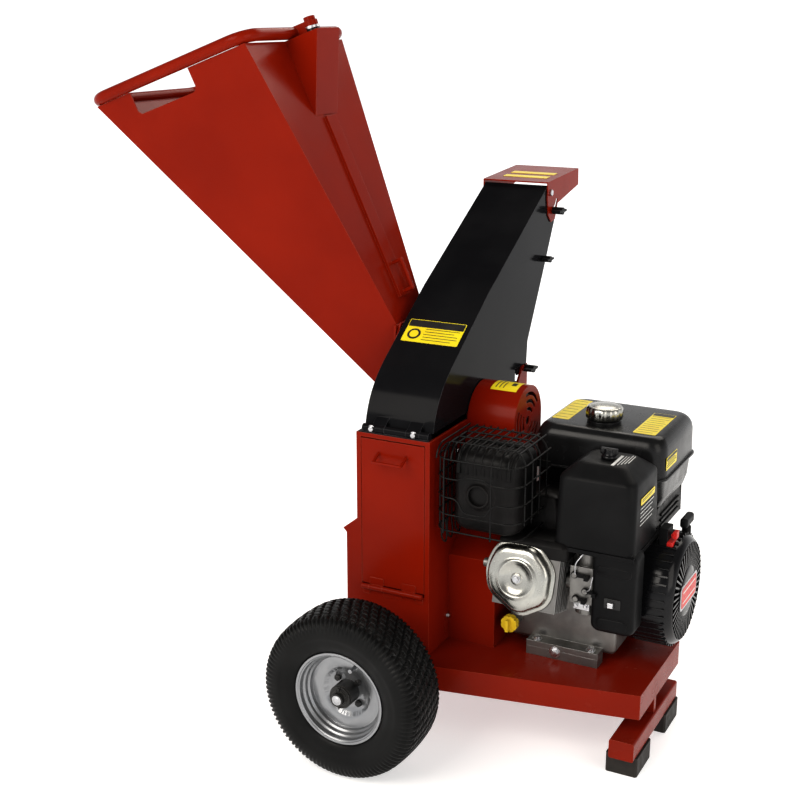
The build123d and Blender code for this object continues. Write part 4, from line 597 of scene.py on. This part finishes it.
tank = new_shape()
add_levels(tank, [(452, 34, 20), (454, 22, 26), (462, 12, 30), (480, 7, 32), (518, 4, 32), (521, 2, 32),
                  (521, -3, 34), (525.5, -3, 34), (525.5, 1, 32), (578, 2.0, 32), (589, 4, 32), (597, 8, 31),
                  (601.5, 12, 30), (604.2, 16, 28), (605.5, 20, 26), (606, 26, 22)],
           tank_x0, tank_x1, tank_y0, tank_y1)
finish_piece("fuel_tank_pressings", tank, "tank_black", "fuel_tank", ("fuel_tank",), bevel=1.0, sharp=40)
cap_low, cap_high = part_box("fuel_cap")
cap_x, cap_y = mm((cap_low + cap_high) / 2)[:2]
neck = add_turned(new_shape(), at(cap_x, cap_y, 596), upward,
                  [(0, 34), (14, 34), (16, 30), (19, 29), (22, 29)])
finish_piece("filler_neck", neck, "tank_black", "fuel_tank", bevel=1.0)
print("tank is", round(tank_x1 - tank_x0), "by", round(tank_y1 - tank_y0), "mm")

# %% Scalloped filler cap
scallops = 14
cap_rings = []
for z, radius, wave in ((613, 35.5, 1.2), (615, 37.2, 1.8), (627, 37.4, 1.8), (633, 36.6, 1.5),
                        (637, 33.5, 0.6),
                        (638, 30.5, 0.0), (637.4, 28.5, 0.0), (638.6, 26.0, 0.0), (640, 18.0, 0.0),
                        (640.8, 9.0, 0.0), (641, 2.0, 0.0)):
    ring = []
    for i in range(120):
        turn = 2 * pi * i / 120
        r = radius - wave * abs(sin(scallops / 2 * turn)) ** 3
        ring.append(at(cap_x + r * cos(turn), cap_y + r * sin(turn), z))
    cap_rings.append(ring)
finish_piece("scalloped_cap", add_rings(new_shape(), cap_rings), "bright_chrome", "fuel_cap", ("fuel_cap",),
             sharp=50)
print("cap radius", round((cap_high.x - cap_low.x) * 500))

# %% [markdown]
# ## Air cleaner and its lower panel
# The air cleaner is a deep moulded lid with wide chamfers on top, held by one wing nut, over a base whose
# front panel hangs down past the carburettor and carries the choke knob. Both are lofts of rounded
# rectangles: the lid rises in Z, the panel is pushed forward in Y and rounded at its front.

# %% Lid and seam
lid_low, lid_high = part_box("air_cleaner_cover")
lid_x0, lid_y0, lid_z0 = mm(lid_low)
lid_x1, lid_y1, lid_z1 = mm(lid_high)
lid = new_shape()
add_levels(lid, [(lid_z0, 1.5, 14), (lid_z0 + 1.5, 0, 16), (lid_z0 + 60, 0.5, 17), (lid_z1 - 30, 2.5, 19),
                 (lid_z1 - 25, 4.5, 20), (lid_z1 - 21, 8.5, 20), (lid_z1 - 7, 26, 18),
                 (lid_z1 - 3.5, 30.5, 17),
                 (lid_z1 - 1.2, 35, 16), (lid_z1 - 0.4, 40, 14), (lid_z1, 48, 10)],
           lid_x0, lid_x1, lid_y0, lid_y1)
finish_piece("air_cleaner_lid", lid, "grained_black_plastic", "air_cleaner_cover", ("air_cleaner_cover",),
             sharp=30)
base_z0 = mm(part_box("air_cleaner_base")[0])[2]
base = new_shape()
add_levels(base, [(base_z0 - 2, 10, 12), (base_z0, 4, 14), (base_z0 + 3, 1.5, 15), (lid_z0 - 2.5, 0.5, 16),
                  (lid_z0 - 2.5, -1.5, 17), (lid_z0 - 0.3, -1.5, 17)], lid_x0, lid_x1, lid_y0, lid_y1)
finish_piece("air_cleaner_tray", base, "grained_black_plastic", "air_cleaner_base", bevel=0.6)
print("lid", [round(v) for v in (lid_x0, lid_x1, lid_y0, lid_y1, lid_z0, lid_z1)])


# %% Hanging front panel with the choke knob
def add_forward(shape, levels, x0, x1, z0, z1, first_cap=True, last_cap=True):
    """Rounded rectangles in the upright plane, at given distances in Y."""
    rings = []
    for y, inset, radius in levels:
        rings.append([at(x, y, z) for x, z in oblong(x0 + inset, x1 - inset, z0 + inset, z1 - inset, radius)])
    return add_rings(shape, rings, first_cap, last_cap)


panel = new_shape()
add_forward(panel, [(-138, 0, 16), (-176, 0, 16), (-182, 1.5, 16), (-186, 5, 14), (-187.5, 9, 11)], 384, 470,
            268,
            lid_z0 + 4)
add_forward(panel, [(-186, 0, 10), (-189, 0, 10), (-190.5, 2, 9)], 398, 458, 276, 300)
add_forward(panel, [(-186, 0, 8), (-188.5, 0, 8), (-189.5, 1.5, 7)], 394, 462, 386, 404)
finish_piece("hanging_panel", panel, "grained_black_plastic", "control_cowl", ("control_cowl",), bevel=0.8)
knob = new_shape()
add_forward(knob, [(-187, 0, 2), (-189.8, 0, 2)], 412, 444, 322, 342)
finish_piece("choke_window", knob, "black_print", "control_cowl", bevel=0.5)
knob = new_shape()
add_forward(knob, [(-188, 0, 2), (-196, 0.5, 2), (-198, 2, 2)], 419, 432, 325, 338)
finish_piece("choke_button", knob, "zinc_plate", "control_cowl", bevel=0.8)

# %% [markdown]
# ## Chromed valve cover
# The valve cover is a deep-drawn pressing: an irregular seven-sided flange, a shoulder, and a round raised
# seat with a dished middle for the one bolt. Its rings keep the same number of points all the way, so the
# seven-sided outline can melt into a circle without a seam.

# %% Drawn cover
crank_y = -12
crank_z = 309
lean = radians(13.5)
cover_out = Vector((0, -cos(lean), sin(lean)))
cover_up = Vector((0, sin(lean), cos(lean)))
cover_outline = [(-50.0, 66.0), (30.0, 70.0), (70.0, 26.0), (66.0, -42.0), (6.0, -76.0), (-62.0, -34.0),
                 (-72.0, 16.0)]


def outline_reach(outline, turn):
    """Distance from the middle to a convex outline in one direction."""
    dx, dy = cos(turn), sin(turn)
    for i, (x0, y0) in enumerate(outline):
        x1, y1 = outline[(i + 1) % len(outline)]
        ex, ey = x1 - x0, y1 - y0
        cross = dx * ey - dy * ex
        if abs(cross) < 1e-9:
            continue
        reach = (x0 * ey - y0 * ex) / cross
        share = (x0 * dy - y0 * dx) / cross
        if reach > 0 and -1e-6 <= share <= 1 + 1e-6:
            return reach
    return 60.0


points_round = 144
rough_reach = [outline_reach(cover_outline, 2 * pi * i / points_round) for i in range(points_round)]
reach = []
for i in range(points_round):
    spread_over = [rough_reach[(i + k) % points_round] for k in range(-6, 7)]
    reach.append(sum(spread_over) / len(spread_over))


def cover_ring(height, inset, roundness):
    """One ring of the cover at a height above the crank, part of the way from the outline to a circle."""
    ring = []
    for i in range(points_round):
        turn = 2 * pi * i / points_round
        r = (reach[i] * 0.96 - inset) * (1 - roundness) + (66 - inset) * roundness
        x = -12 + r * cos(turn)
        v = 1 + r * sin(turn)
        ring.append(at(262 + x, crank_y, crank_z) + (cover_out * height + cover_up * v) / 1000)
    return ring


cover = new_shape()
add_rings(cover, [cover_ring(h, inset, mix) for h, inset, mix in (
    (200, -3, 0), (203.2, -3, 0), (204, -2.2, 0), (204.2, 1, 0), (205, 3, 0), (216, 6.5, 0), (219.5, 9, 0.05),
    (221.5, 13, 0.1), (222.4, 18, 0.3), (222.8, 24, 0.7), (223.2, 26.5, 1), (225.2, 28.5, 1), (226, 30.5, 1),
    (225.6, 32.5, 1), (223.4, 35, 1), (221.0, 40, 1), (219.4, 48, 1), (219, 54, 1), (220.4, 55, 1),
    (221.0, 57, 1), (221.2, 62, 1))])
finish_piece("drawn_valve_cover", cover, "bright_chrome", "valve_cover", ("valve_cover",), sharp=50)
middle_of_cover = at(250, crank_y, crank_z) + cover_up / 1000
bolt = add_turned(new_shape(), middle_of_cover, cover_out, [(220, 8.5), (222, 8.5), (222.4, 8)], 24)
add_turned(bolt, middle_of_cover, cover_out, [(222, 6.6), (227.5, 6.6), (228.4, 5.6)], 6)
finish_piece("cover_bolt", bolt, "zinc_plate", "valve_cover", bevel=0.5)
gasket = new_shape()
add_rings(gasket, [cover_ring(198.8, -3.6, 0), cover_ring(200, -3.6, 0)])
finish_piece("cover_gasket", gasket, "black_print", "cylinder_head")
print("cover reach", round(min(reach)), "to", round(max(reach)), "mm")

# %% [markdown]
# ## Muffler and its wire guard
# The muffler is a pressed steel box with generous corners, stiffening ribs over its top, and a short round
# outlet. Around it stands a guard of welded round wire, which curves are made for: each run is a line of
# points and one bevel radius. The runs dip below the outlet so that the hot gas passes clear.

# %% Ribbed muffler box
muffler = new_shape()
add_levels(muffler, [(438, 22, 14), (440, 13, 20), (446, 5, 26), (456, 1, 28), (470, 0, 30), (572, 0, 30),
                     (584, 2, 30), (592, 7, 30), (597, 15, 28), (599, 26, 24), (599.5, 34, 16)],
           112, 248, -230, -106)
finish_piece("muffler_box", muffler, "stoved_black", "muffler", ("muffler",), sharp=60)
ribs = []
for i in range(7):
    x = 128 + 17 * i
    ribs.append([(x, -114, 580), (x, -124, 596.5), (x, -202, 597.5), (x, -220, 590), (x, -227.5, 572),
                 (x, -228.5, 556)])
bent_wire("muffler_ribs", ribs, 4.6, "stoved_black", "muffler", bend=9)
seam = [[(110, -160, 452), (110, -160, 580), (126, -160, 601), (234, -160, 601), (250, -160, 580),
         (250, -160, 452)]]
bent_wire("muffler_seam", seam, 2.6, "stoved_black", "muffler", bend=16)
outlet = add_turned(new_shape(), at(172, -230, 517), -along,
                    [(-12, 18), (-6, 19), (4, 19.2), (8.4, 19.4), (9, 20.6), (8.8, 22), (7, 23), (3, 24.5),
                     (1, 28),
                     (0.2, 33), (-3, 34)], 48, True, False)
finish_piece("exhaust_outlet_ring", outlet, "stoved_black", "muffler", sharp=50)
down_pipe = add_turned(new_shape(), at(222, -168, 380), upward, [(0, 15), (62, 15)], 32)
add_block(down_pipe, (196, -184, 424), (248, -150, 431))
finish_piece("exhaust_down_pipe", down_pipe, "stoved_black", "muffler", bevel=1.5)
shroud = new_shape()
add_levels(shroud, [(400, 0, 12), (424, 0, 12), (432, 6, 10), (434, 12, 6)], 198, 338, -196, -92)
finish_piece("cylinder_shroud", shroud, "stoved_black", "crankcase", bevel=1.0)
air_duct = new_shape()
add_levels(air_duct, [(426, 0, 10), (470, 0, 10), (494, 8, 10), (498, 14, 8)], 206, 296, -130, tank_y0 - 6)
finish_piece("fan_air_duct", air_duct, "stoved_black", "crankcase", bevel=1.0)
print("duct reaches", round(tank_y0 - 6))

# %% Welded wire guard
wx0, wx1, wy0, wy1, wz1 = 86.0, 262.0, -252.0, -98.0, 612.0
loops = []
for z in (444.0, 477.0, 511.0, 549.0, 587.0):
    front = [(wx0 + 22, wy0, z)]
    if z == 511.0:
        front += [(136, wy0, z), (150, wy0 - 2, z - 26), (194, wy0 - 2, z - 26), (208, wy0, z)]
    if z == 549.0:
        front += [(138, wy0, z), (152, wy0 - 2, z + 9), (192, wy0 - 2, z + 9), (206, wy0, z)]
    loops.append([(wx0, wy1, z), (wx0, wy0 + 22, z)] + front
                 + [(wx1 - 22, wy0, z), (wx1, wy0 + 22, z), (wx1, wy1, z)])
for x in (108, 205):
    loops.append([(x, wy0 + 0.4, 438), (x, wy0 + 0.4, wz1 - 22), (x, wy0 + 20, wz1), (x, wy1, wz1)])
for x in (92, 122, 137, 152, 168, 184, 222, 238, 252):
    loops.append([(x, wy0 + 1.5, wz1 - 26), (x, wy0 + 6, wz1 - 12), (x, wy0 + 22, wz1), (x, wy1, wz1)])
for y in (wy0 + 30, wy0 + 66, wy0 + 102, wy0 + 138):
    loops.append([(wx0 + 0.5, y, 436), (wx0 + 0.5, y, wz1 - 18), (wx0 + 18, y, wz1 + 1.5),
                  (wx1 - 18, y, wz1 + 1.5), (wx1 - 0.5, y, wz1 - 18), (wx1 - 0.5, y, 470)])
for y in (wy0 + 48, wy0 + 84, wy0 + 120):
    loops.append([(wx0 + 0.5, y, 440), (wx0 + 0.5, y, wz1 - 22), (wx0 + 20, y, wz1 - 0.5)])
for y in (wy0 + 34, wy0 + 60, wy0 + 96):
    loops.append([(wx0 + 1, y, 446), (wx0 + 3, y, 412), (wx0 + 8, y + 7, 401), (wx0 + 7, y + 15, 412),
                  (wx0 + 3, y + 16, 446)])
bent_wire("muffler_guard_wire", loops, 1.75, "cage_wire", "muffler_cage", ("muffler_cage",), bend=14)
tabs = new_shape()
add_block(tabs, (wx0, wy1 - 1.2, 546), (wx1, wy1 + 1.2, 560))
add_block(tabs, (150, -108, 547), (170, wy1, 559))
add_block(tabs, (190, -108, 547), (210, wy1, 559))
finish_piece("guard_strap", tabs, "stoved_black", "muffler_cage", bevel=0.6)
print(len(loops), "wires in the guard")

# %% [markdown]
# ## Recoil starter housing
# A black moulded drum closes the fan side of the engine. Its face is a ring of slots between radial bars,
# with a plain badge plate across the middle, and shorter bars run over its rim. A turned drum with a sunk
# face, plus bars laid across the sunk ring, reads as real open slots from every side.

# %% Drum, bars and badge
fan = at(0, crank_y, crank_z)
drum = new_shape()
add_turned(drum, fan, across,
           [(420, 111), (424, 112), (490, 112), (500, 111), (508, 108.5), (514, 105), (519, 100),
            (521, 97), (521, 95.5), (512, 95), (511, 52), (521, 51), (523, 49), (524, 40), (524.5, 10)], 96)
finish_piece("recoil_drum", drum, "gloss_black_plastic", "recoil_housing", ("recoil_housing",), bevel=0.8,
             sharp=50)
bar_count = 44
bars = new_shape()
for i in range(bar_count):
    turn = 2 * pi * i / bar_count
    out = along * cos(turn) + upward * sin(turn)
    side = along * -sin(turn) + upward * cos(turn)
    for r0, r1, x0, x1, half in ((50, 97, 511, 522, 2.0), (104, 113, 440, 508, 2.2)):
        corners = [fan + out * (r0 / 1000) + side * (s / 1000) for s in (-half, half)]
        corners += [fan + out * (r1 / 1000) + side * (s / 1000) for s in (half, -half)]
        add_rings(bars, [[c + across * (x / 1000) for c in corners] for x in (x0, x1)])
finish_piece("recoil_bars", bars, "gloss_black_plastic", "recoil_housing", bevel=0.7)
switch_case = new_shape()
add_block(switch_case, (472, -58, 402), (489.5, -22, 446))
add_turned(switch_case, at(500, 36, 405), upward, [(0, 9), (18, 9), (20, 7)], 24)
finish_piece("switch_case", switch_case, "grained_black_plastic", "recoil_housing", bevel=2.0)
switch_front = add_block(new_shape(), (486, -58, 402), (500, -22, 421))
finish_piece("switch_front", switch_front, "red_plastic", "recoil_housing", bevel=2.0)


def add_sheet(shape, origin, u, v, width, height, thick, radius=3.0, lift=0.0):
    """A thin plate with round corners on a flat face; width along u and height along v, in millimetres."""
    n = u.cross(v).normalized()
    outline = oblong(0, width, 0, height, min(radius, width * 0.45, height * 0.45), 4)
    rings = []
    for level in (lift - 0.3, lift + thick):
        rings.append([origin + (u * a + v * b + n * level) / 1000 for a, b in outline])
    return add_rings(shape, rings)


badge = add_sheet(new_shape(), at(522.5, -66, 284), along, upward, 108, 50, 2.4, 8)
finish_piece("recoil_badge_frame", badge, "zinc_plate", "recoil_housing", bevel=0.6)
badge = add_sheet(new_shape(), at(524.6, -61, 288), along, upward, 98, 42, 0.8, 6)
finish_piece("recoil_badge", badge, "red_plastic", "recoil_housing")
badge = new_shape()
add_sheet(badge, at(525.2, -54, 318), along, upward, 84, 3, 0.4, 1)
add_sheet(badge, at(525.2, -54, 297), along, upward, 84, 3, 0.4, 1)
finish_piece("recoil_badge_stripes", badge, "white_print", "recoil_housing")
print(bar_count, "bars on the face and as many on the rim")

# %% [markdown]
# ## Plates and stripes
# The machine carries bright yellow plates. They are shown as plain plates with a dark band and dark rules,
# thin slabs that follow the face under them. Real geometry, rather than a painted pattern, keeps them crisp
# and lets each one ride on the piece it is fixed to.

# %% Yellow plates on flat faces


def yellow_plate(name, node, origin, u, v, width, height, rules, band=0.0, rule_ends=(0.08, 0.92)):
    plate = add_sheet(new_shape(), origin, u, v, width, height, 0.35)
    finish_piece(name, plate, "yellow_print", node)
    ink = new_shape()
    if band > 0:
        start = origin + v * (height * (1 - band) - 1.5) / 1000 + u * 1.5 / 1000
        add_sheet(ink, start, u, v, width - 3, height * band, 0.15, 2, 0.4)
    room = height * (1 - band) - 6
    for i in range(rules):
        b = 4 + room * (i + 0.5) / rules
        a = width * (rule_ends[0] + 0.01 * (i % 2))
        long = width * (rule_ends[1] - rule_ends[0]) * (1.0 if i % 3 else 0.86)
        start = origin + (u * a + v * (b - 0.7)) / 1000
        add_sheet(ink, start, u, v, long, 1.4, 0.15, 0.5, 0.4)
    finish_piece(name + "_rules", ink, "black_print", node)


slope_low_y, slope_low_z = -141, 734
slope_high_y, slope_high_z = 31, 851
slope = atan2(slope_high_z - slope_low_z, slope_high_y - slope_low_y)
slope_dir = Vector((0, cos(slope), sin(slope)))
hood_spot = at(-64, -98,
               slope_low_z + (-98 - slope_low_y) * sin(slope) / cos(slope)) + across.cross(slope_dir) * 0.0003
yellow_plate("hood_plate", "hood", hood_spot, across, slope_dir, 124, 60, 5, 0.3, (0.34, 0.94))
mark_centre = hood_spot + (across * 22 + slope_dir * 21 + across.cross(slope_dir) * 0.4) / 1000
for name, finish, low, high, radius in (("hood_plate_disc", "black_print", 0, 0.3, 14),
                                        ("hood_plate_spot", "yellow_print", 0.2, 0.5, 9.5)):
    mark = add_turned(new_shape(), mark_centre, across.cross(slope_dir), [(low, radius), (high, radius)], 32)
    finish_piece(name, mark, finish, "hood")
yellow_plate("tank_left_plate", "fuel_tank", at(212, 34, 605.9), across, along, 36, 146, 7, 0.0)
yellow_plate("tank_right_plate", "fuel_tank", at(388, 12, 606), across, along, 46, 146, 9, 0.12)
yellow_plate("tank_side_plate", "fuel_tank", at(tank_x1 - 1.6, 4, 540), along, upward, 70, 26, 4, 0.2)
yellow_plate("lid_side_plate", "air_cleaner_cover", at(lid_x1 - 0.6, -150, 520), along, upward, 84, 13, 2,
             0.0)
print("six flat plates")

# %% Curved plate on the belt guard, rules on the lid, strips on the deflector
guard_z = 603
guard_radius = 72
rows = []
for i in range(15):
    turn = radians(64 + 44 * i / 14)
    rows.append(Vector((0, -cos(turn), sin(turn))))
for thick_low, thick_high, x0, x1, first, last, finish, name in (
        (-0.3, 0.5, 104, 160, 0, 14, "yellow_print", "guard_plate"),
        (0.4, 0.65, 112, 114, 2, 12, "black_print", "guard_plate_rule_a"),
        (0.4, 0.65, 120, 122, 2, 12, "black_print", "guard_plate_rule_b"),
        (0.4, 0.65, 128, 130, 2, 9, "black_print", "guard_plate_rule_c"),
        (0.4, 0.65, 142, 152, 5, 9, "black_print", "guard_plate_mark")):
    wrap = new_shape()
    rings = []
    for radial in rows[first:last + 1]:
        rings.append([at(x, 0, guard_z) + radial * ((guard_radius + t) / 1000)
                      for x, t in ((x0, thick_low), (x1, thick_low), (x1, thick_high), (x0, thick_high))])
    add_rings(wrap, rings)
    finish_piece(name, wrap, finish, "belt_guard")
lid_rules = new_shape()
for i, (x, long) in enumerate(((400, 62), (410, 56), (415, 50), (420, 54), (425, 44))):
    add_sheet(lid_rules, at(x, -150 + 6 * i, lid_z1 - 0.1), across, along, 6 if i == 0 else 1.6, long, 0.3,
              0.7)
for i in range(5):
    add_sheet(lid_rules, at(lid_x1 - 0.6, -150, 512 - 8 * i), along, upward, 80 - 7 * (i % 3), 1.6, 0.3, 0.7)
finish_piece("lid_rules", lid_rules, "white_print", "air_cleaner_cover")
lip = atan2(1049 - 1037, 518 - 330)
lip_dir = Vector((0, cos(lip), sin(lip)))
for i in range(2):
    strip = add_sheet(new_shape(), at(-50, 372 + 44 * i, 1037 + (42 + 44 * i) * sin(lip) / cos(lip) + 0.3),
                      across, lip_dir, 104, 22, 0.35, 1.5)
    finish_piece("deflector_strip_" + "ab"[i], strip, "yellow_print", "deflector")
print("curved plate follows the guard's", guard_radius, "mm ridge")

# %% [markdown]
# ## Bolts, knobs and small fittings
# Fasteners are what tell the eye how big a machine is. Each is a turned washer with a six-sided head, laid
# on the face it clamps. The wing knob of the air cleaner gets its two lobes, and each axle end a bright
# washer and bolt. The panel under the tank and the washer and bush at the safety bar's pivot fill places
# that would look empty.

# %% Hexagon bolts


def add_bolt(shape, spot, axis, head=6.5, height=4.5):
    add_turned(shape, spot, axis, [(-0.5, head * 1.35), (1.2, head * 1.35)], 24)
    add_turned(shape, spot, axis, [(1.2, head), (height, head), (height + 0.6, head * 0.8)], 6)


hinge_bolts = new_shape()
for x in (-54, 37):
    add_bolt(hinge_bolts, at(x, -238, 619), -along, 5.5)
finish_piece("hinge_bar_bolts", hinge_bolts, "zinc_plate", "hood_hinge_bar", bevel=0.4)
wall_bolts = new_shape()
for y, z in ((-154, 218), (-91, 190), (-120, 560), (-120, 300), (205, 560), (205, 300)):
    add_bolt(wall_bolts, at(73, y, z), across, 5.0)
finish_piece("housing_wall_bolts", wall_bolts, "zinc_plate", "rotor_housing", bevel=0.4)
rail_bolts = new_shape()
for x in (258, 370):
    add_bolt(rail_bolts, at(x, -128, 197), upward, 7.5, 6)
add_bolt(rail_bolts, at(300, -140, 182), -along, 8.5, 6)
finish_piece("engine_foot_bolts", rail_bolts, "zinc_plate", "engine_rails", bevel=0.5)
for side, node, centre_y in ((-1, "near_axle", near_middle), (1, "far_axle", far_middle)):
    end_y = (mm(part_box(node)[0])[1] if side < 0 else mm(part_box(node)[1])[1])
    tip = add_turned(new_shape(), at(0, end_y - side * 3, wheel_radius), along * side,
                     [(0, 10.5), (2.6, 10.5), (3.2, 9)], 32)
    add_turned(tip, at(0, end_y - side * 3, wheel_radius), along * side, [(0, 7), (3.4, 7), (4.2, 5.4)], 6)
    finish_piece(node + "_tip", tip, "zinc_plate", node, bevel=0.4)
lid_knob = new_shape()
knob_low, knob_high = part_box("air_knob")
knob_x, knob_y, _ = mm((knob_low + knob_high) / 2)
knob_top = mm(knob_high)[2]
add_turned(lid_knob, at(knob_x, knob_y, knob_top - 20), upward,
           [(0, 15), (5, 15), (8, 11), (14, 9.5), (18, 9)], 32)
add_block(lid_knob, (knob_x - 17, knob_y - 3.5, knob_top - 13), (knob_x + 17, knob_y + 3.5, knob_top))
finish_piece("wing_knob", lid_knob, "gloss_black_plastic", "air_knob", ("air_knob",), bevel=2.2)
bent_wire("control_rods", [[(352, -186, 376), (352, -188, 398), (366, -180, 420), (380, -160, 430)],
                           [(372, -186, 344), (384, -190, 352), (388, -190, 380)]], 1.3, "zinc_plate",
          "carburettor", bend=8)
carb_bits = new_shape()
add_block(carb_bits, (346, -172, 300), (378, -166, 316))
add_bolt(carb_bits, at(352, -172, 308), -along, 4)
add_bolt(carb_bits, at(371, -172, 308), -along, 4)
finish_piece("carburettor_bracket", carb_bits, "zinc_plate", "carburettor", bevel=0.7)
tank_panel = new_shape()
add_block(tank_panel, (440, 8, 398), (446, 186, 456))
add_block(tank_panel, (396, 180, 398), (446, 186, 456))
for z in (410, 422, 434):
    add_block(tank_panel, (446, 34, z), (449.5, 160, z + 5))
finish_piece("tank_support_panel", tank_panel, "stoved_black", "crankcase", bevel=1.2)
pivot_point = at(-315.75, 0, 1362.03)
pivot_axis = Vector((-0.335452, 0, 0.942057))
for name, finish, low, high, inner, outer, bevel in (
        ("bar_pivot_washer", "zinc_plate", -4, 1.5, 15.2, 16.2, 0.5),
        ("bar_pivot_bush", "gloss_black_plastic", -12.4, -4.1, 15.1, 15.7, 0.4)):
    sleeve = add_turned(new_shape(), pivot_point, pivot_axis,
                        [(low, inner), (low, outer), (high, outer), (high, inner)], 48)
    finish_piece(name, sleeve, finish, "safety_bar", bevel=bevel)
print("bolts, knob, washers and rods placed")

# %% [markdown]
# ## Camera, floor and light
# A plain pale floor and three large soft lamps stand in for a white studio sweep. The floor glows a little
# more with distance, so that it stays as pale at the back as around the wheels. The camera stands at the
# same height and distance as a person looking down at the machine from its engine side.

# %% Set up the studio
floor_mesh = bpy.data.meshes.new("studio_floor")
floor_mesh.from_pydata([(-14, -14, 0), (14, -14, 0), (14, 14, 0), (-14, 14, 0)], [], [(0, 1, 2, 3)])
floor = bpy.data.objects.new("studio_floor", floor_mesh)
bpy.context.collection.objects.link(floor)
pale = bpy.data.materials.new("pale_floor")
pale.use_nodes = True
pale_tree = pale.node_tree
pale_shader = pale_tree.nodes["Principled BSDF"]
pale_shader.inputs["Base Color"].default_value = (0.90, 0.90, 0.90, 1)
pale_shader.inputs["Roughness"].default_value = 0.7
pale_shader.inputs["Emission Color"].default_value = (1, 1, 1, 1)
pale_place = add_node(pale_tree, "ShaderNodeTexCoord").outputs["Object"]
pale_distance = add_node(pale_tree, "ShaderNodeVectorMath", {}, {0: pale_place}, operation="LENGTH")
pale_glow = add_node(pale_tree, "ShaderNodeMapRange",
                     {"From Min": 1.5, "From Max": 5.0, "To Min": 0.40, "To Max": 0.80},
                     {"Value": pale_distance.outputs["Value"]}).outputs["Result"]
pale_tree.links.new(pale_glow, pale_shader.inputs["Emission Strength"])
floor_mesh.materials.append(pale)

world = bpy.data.worlds.new("studio")
world.use_nodes = True
sky = world.node_tree
sky.nodes["Background"].inputs["Strength"].default_value = 1.0
sky_place = add_node(sky, "ShaderNodeTexCoord").outputs["Generated"]
sky_split = add_node(sky, "ShaderNodeSeparateXYZ", {}, {"Vector": sky_place})
sky_fade = add_node(sky, "ShaderNodeMapRange",
                    {"From Min": 0.12, "From Max": 0.55, "To Min": 1.0, "To Max": 0.22},
                    {"Value": sky_split.outputs["Z"]})
sky.links.new(sky_fade.outputs["Result"], sky.nodes["Background"].inputs["Color"])
bpy.context.scene.world = world


def soft_lamp(name, spot, aim, size, power, tone=(1.0, 0.95, 0.88)):
    lamp = bpy.data.lights.new(name, "AREA")
    lamp.color = tone
    lamp.shape = "RECTANGLE"
    lamp.size = size[0]
    lamp.size_y = size[1]
    lamp.energy = power
    holder = bpy.data.objects.new(name, lamp)
    bpy.context.collection.objects.link(holder)
    holder.location = spot
    holder.rotation_mode = "QUATERNION"
    holder.rotation_quaternion = (aim - spot).to_track_quat("-Z", "Y")
    return holder


middle = at(-100, 0, 650)
soft_lamp("key_box", at(-900, -3100, 2700), middle, (2.4, 2.0), 85)
soft_lamp("fill_box", at(2700, -1300, 1900), middle, (1.6, 2.4), 26)
soft_lamp("back_box", at(300, 2100, 3000), middle, (3.0, 1.6), 50)

eye = bpy.data.cameras.new("viewer")
eye.sensor_width = 36.0
eye.lens = 60.11
viewer = bpy.data.objects.new("viewer", eye)
bpy.context.collection.objects.link(viewer)
viewer.location = at(1130.3, -2395.5, 1395.7)
heading = radians(27.48)
stoop = radians(16.29)
look = Vector((-sin(heading) * cos(stoop), cos(heading) * cos(stoop), -sin(stoop)))
viewer.rotation_mode = "QUATERNION"
viewer.rotation_quaternion = look.to_track_quat("-Z", "Y")
bpy.context.scene.camera = viewer
bpy.context.scene.view_settings.view_transform = "Standard"
bpy.context.scene.view_settings.look = "Medium High Contrast"
print("camera at", [round(v, 3) for v in viewer.location])
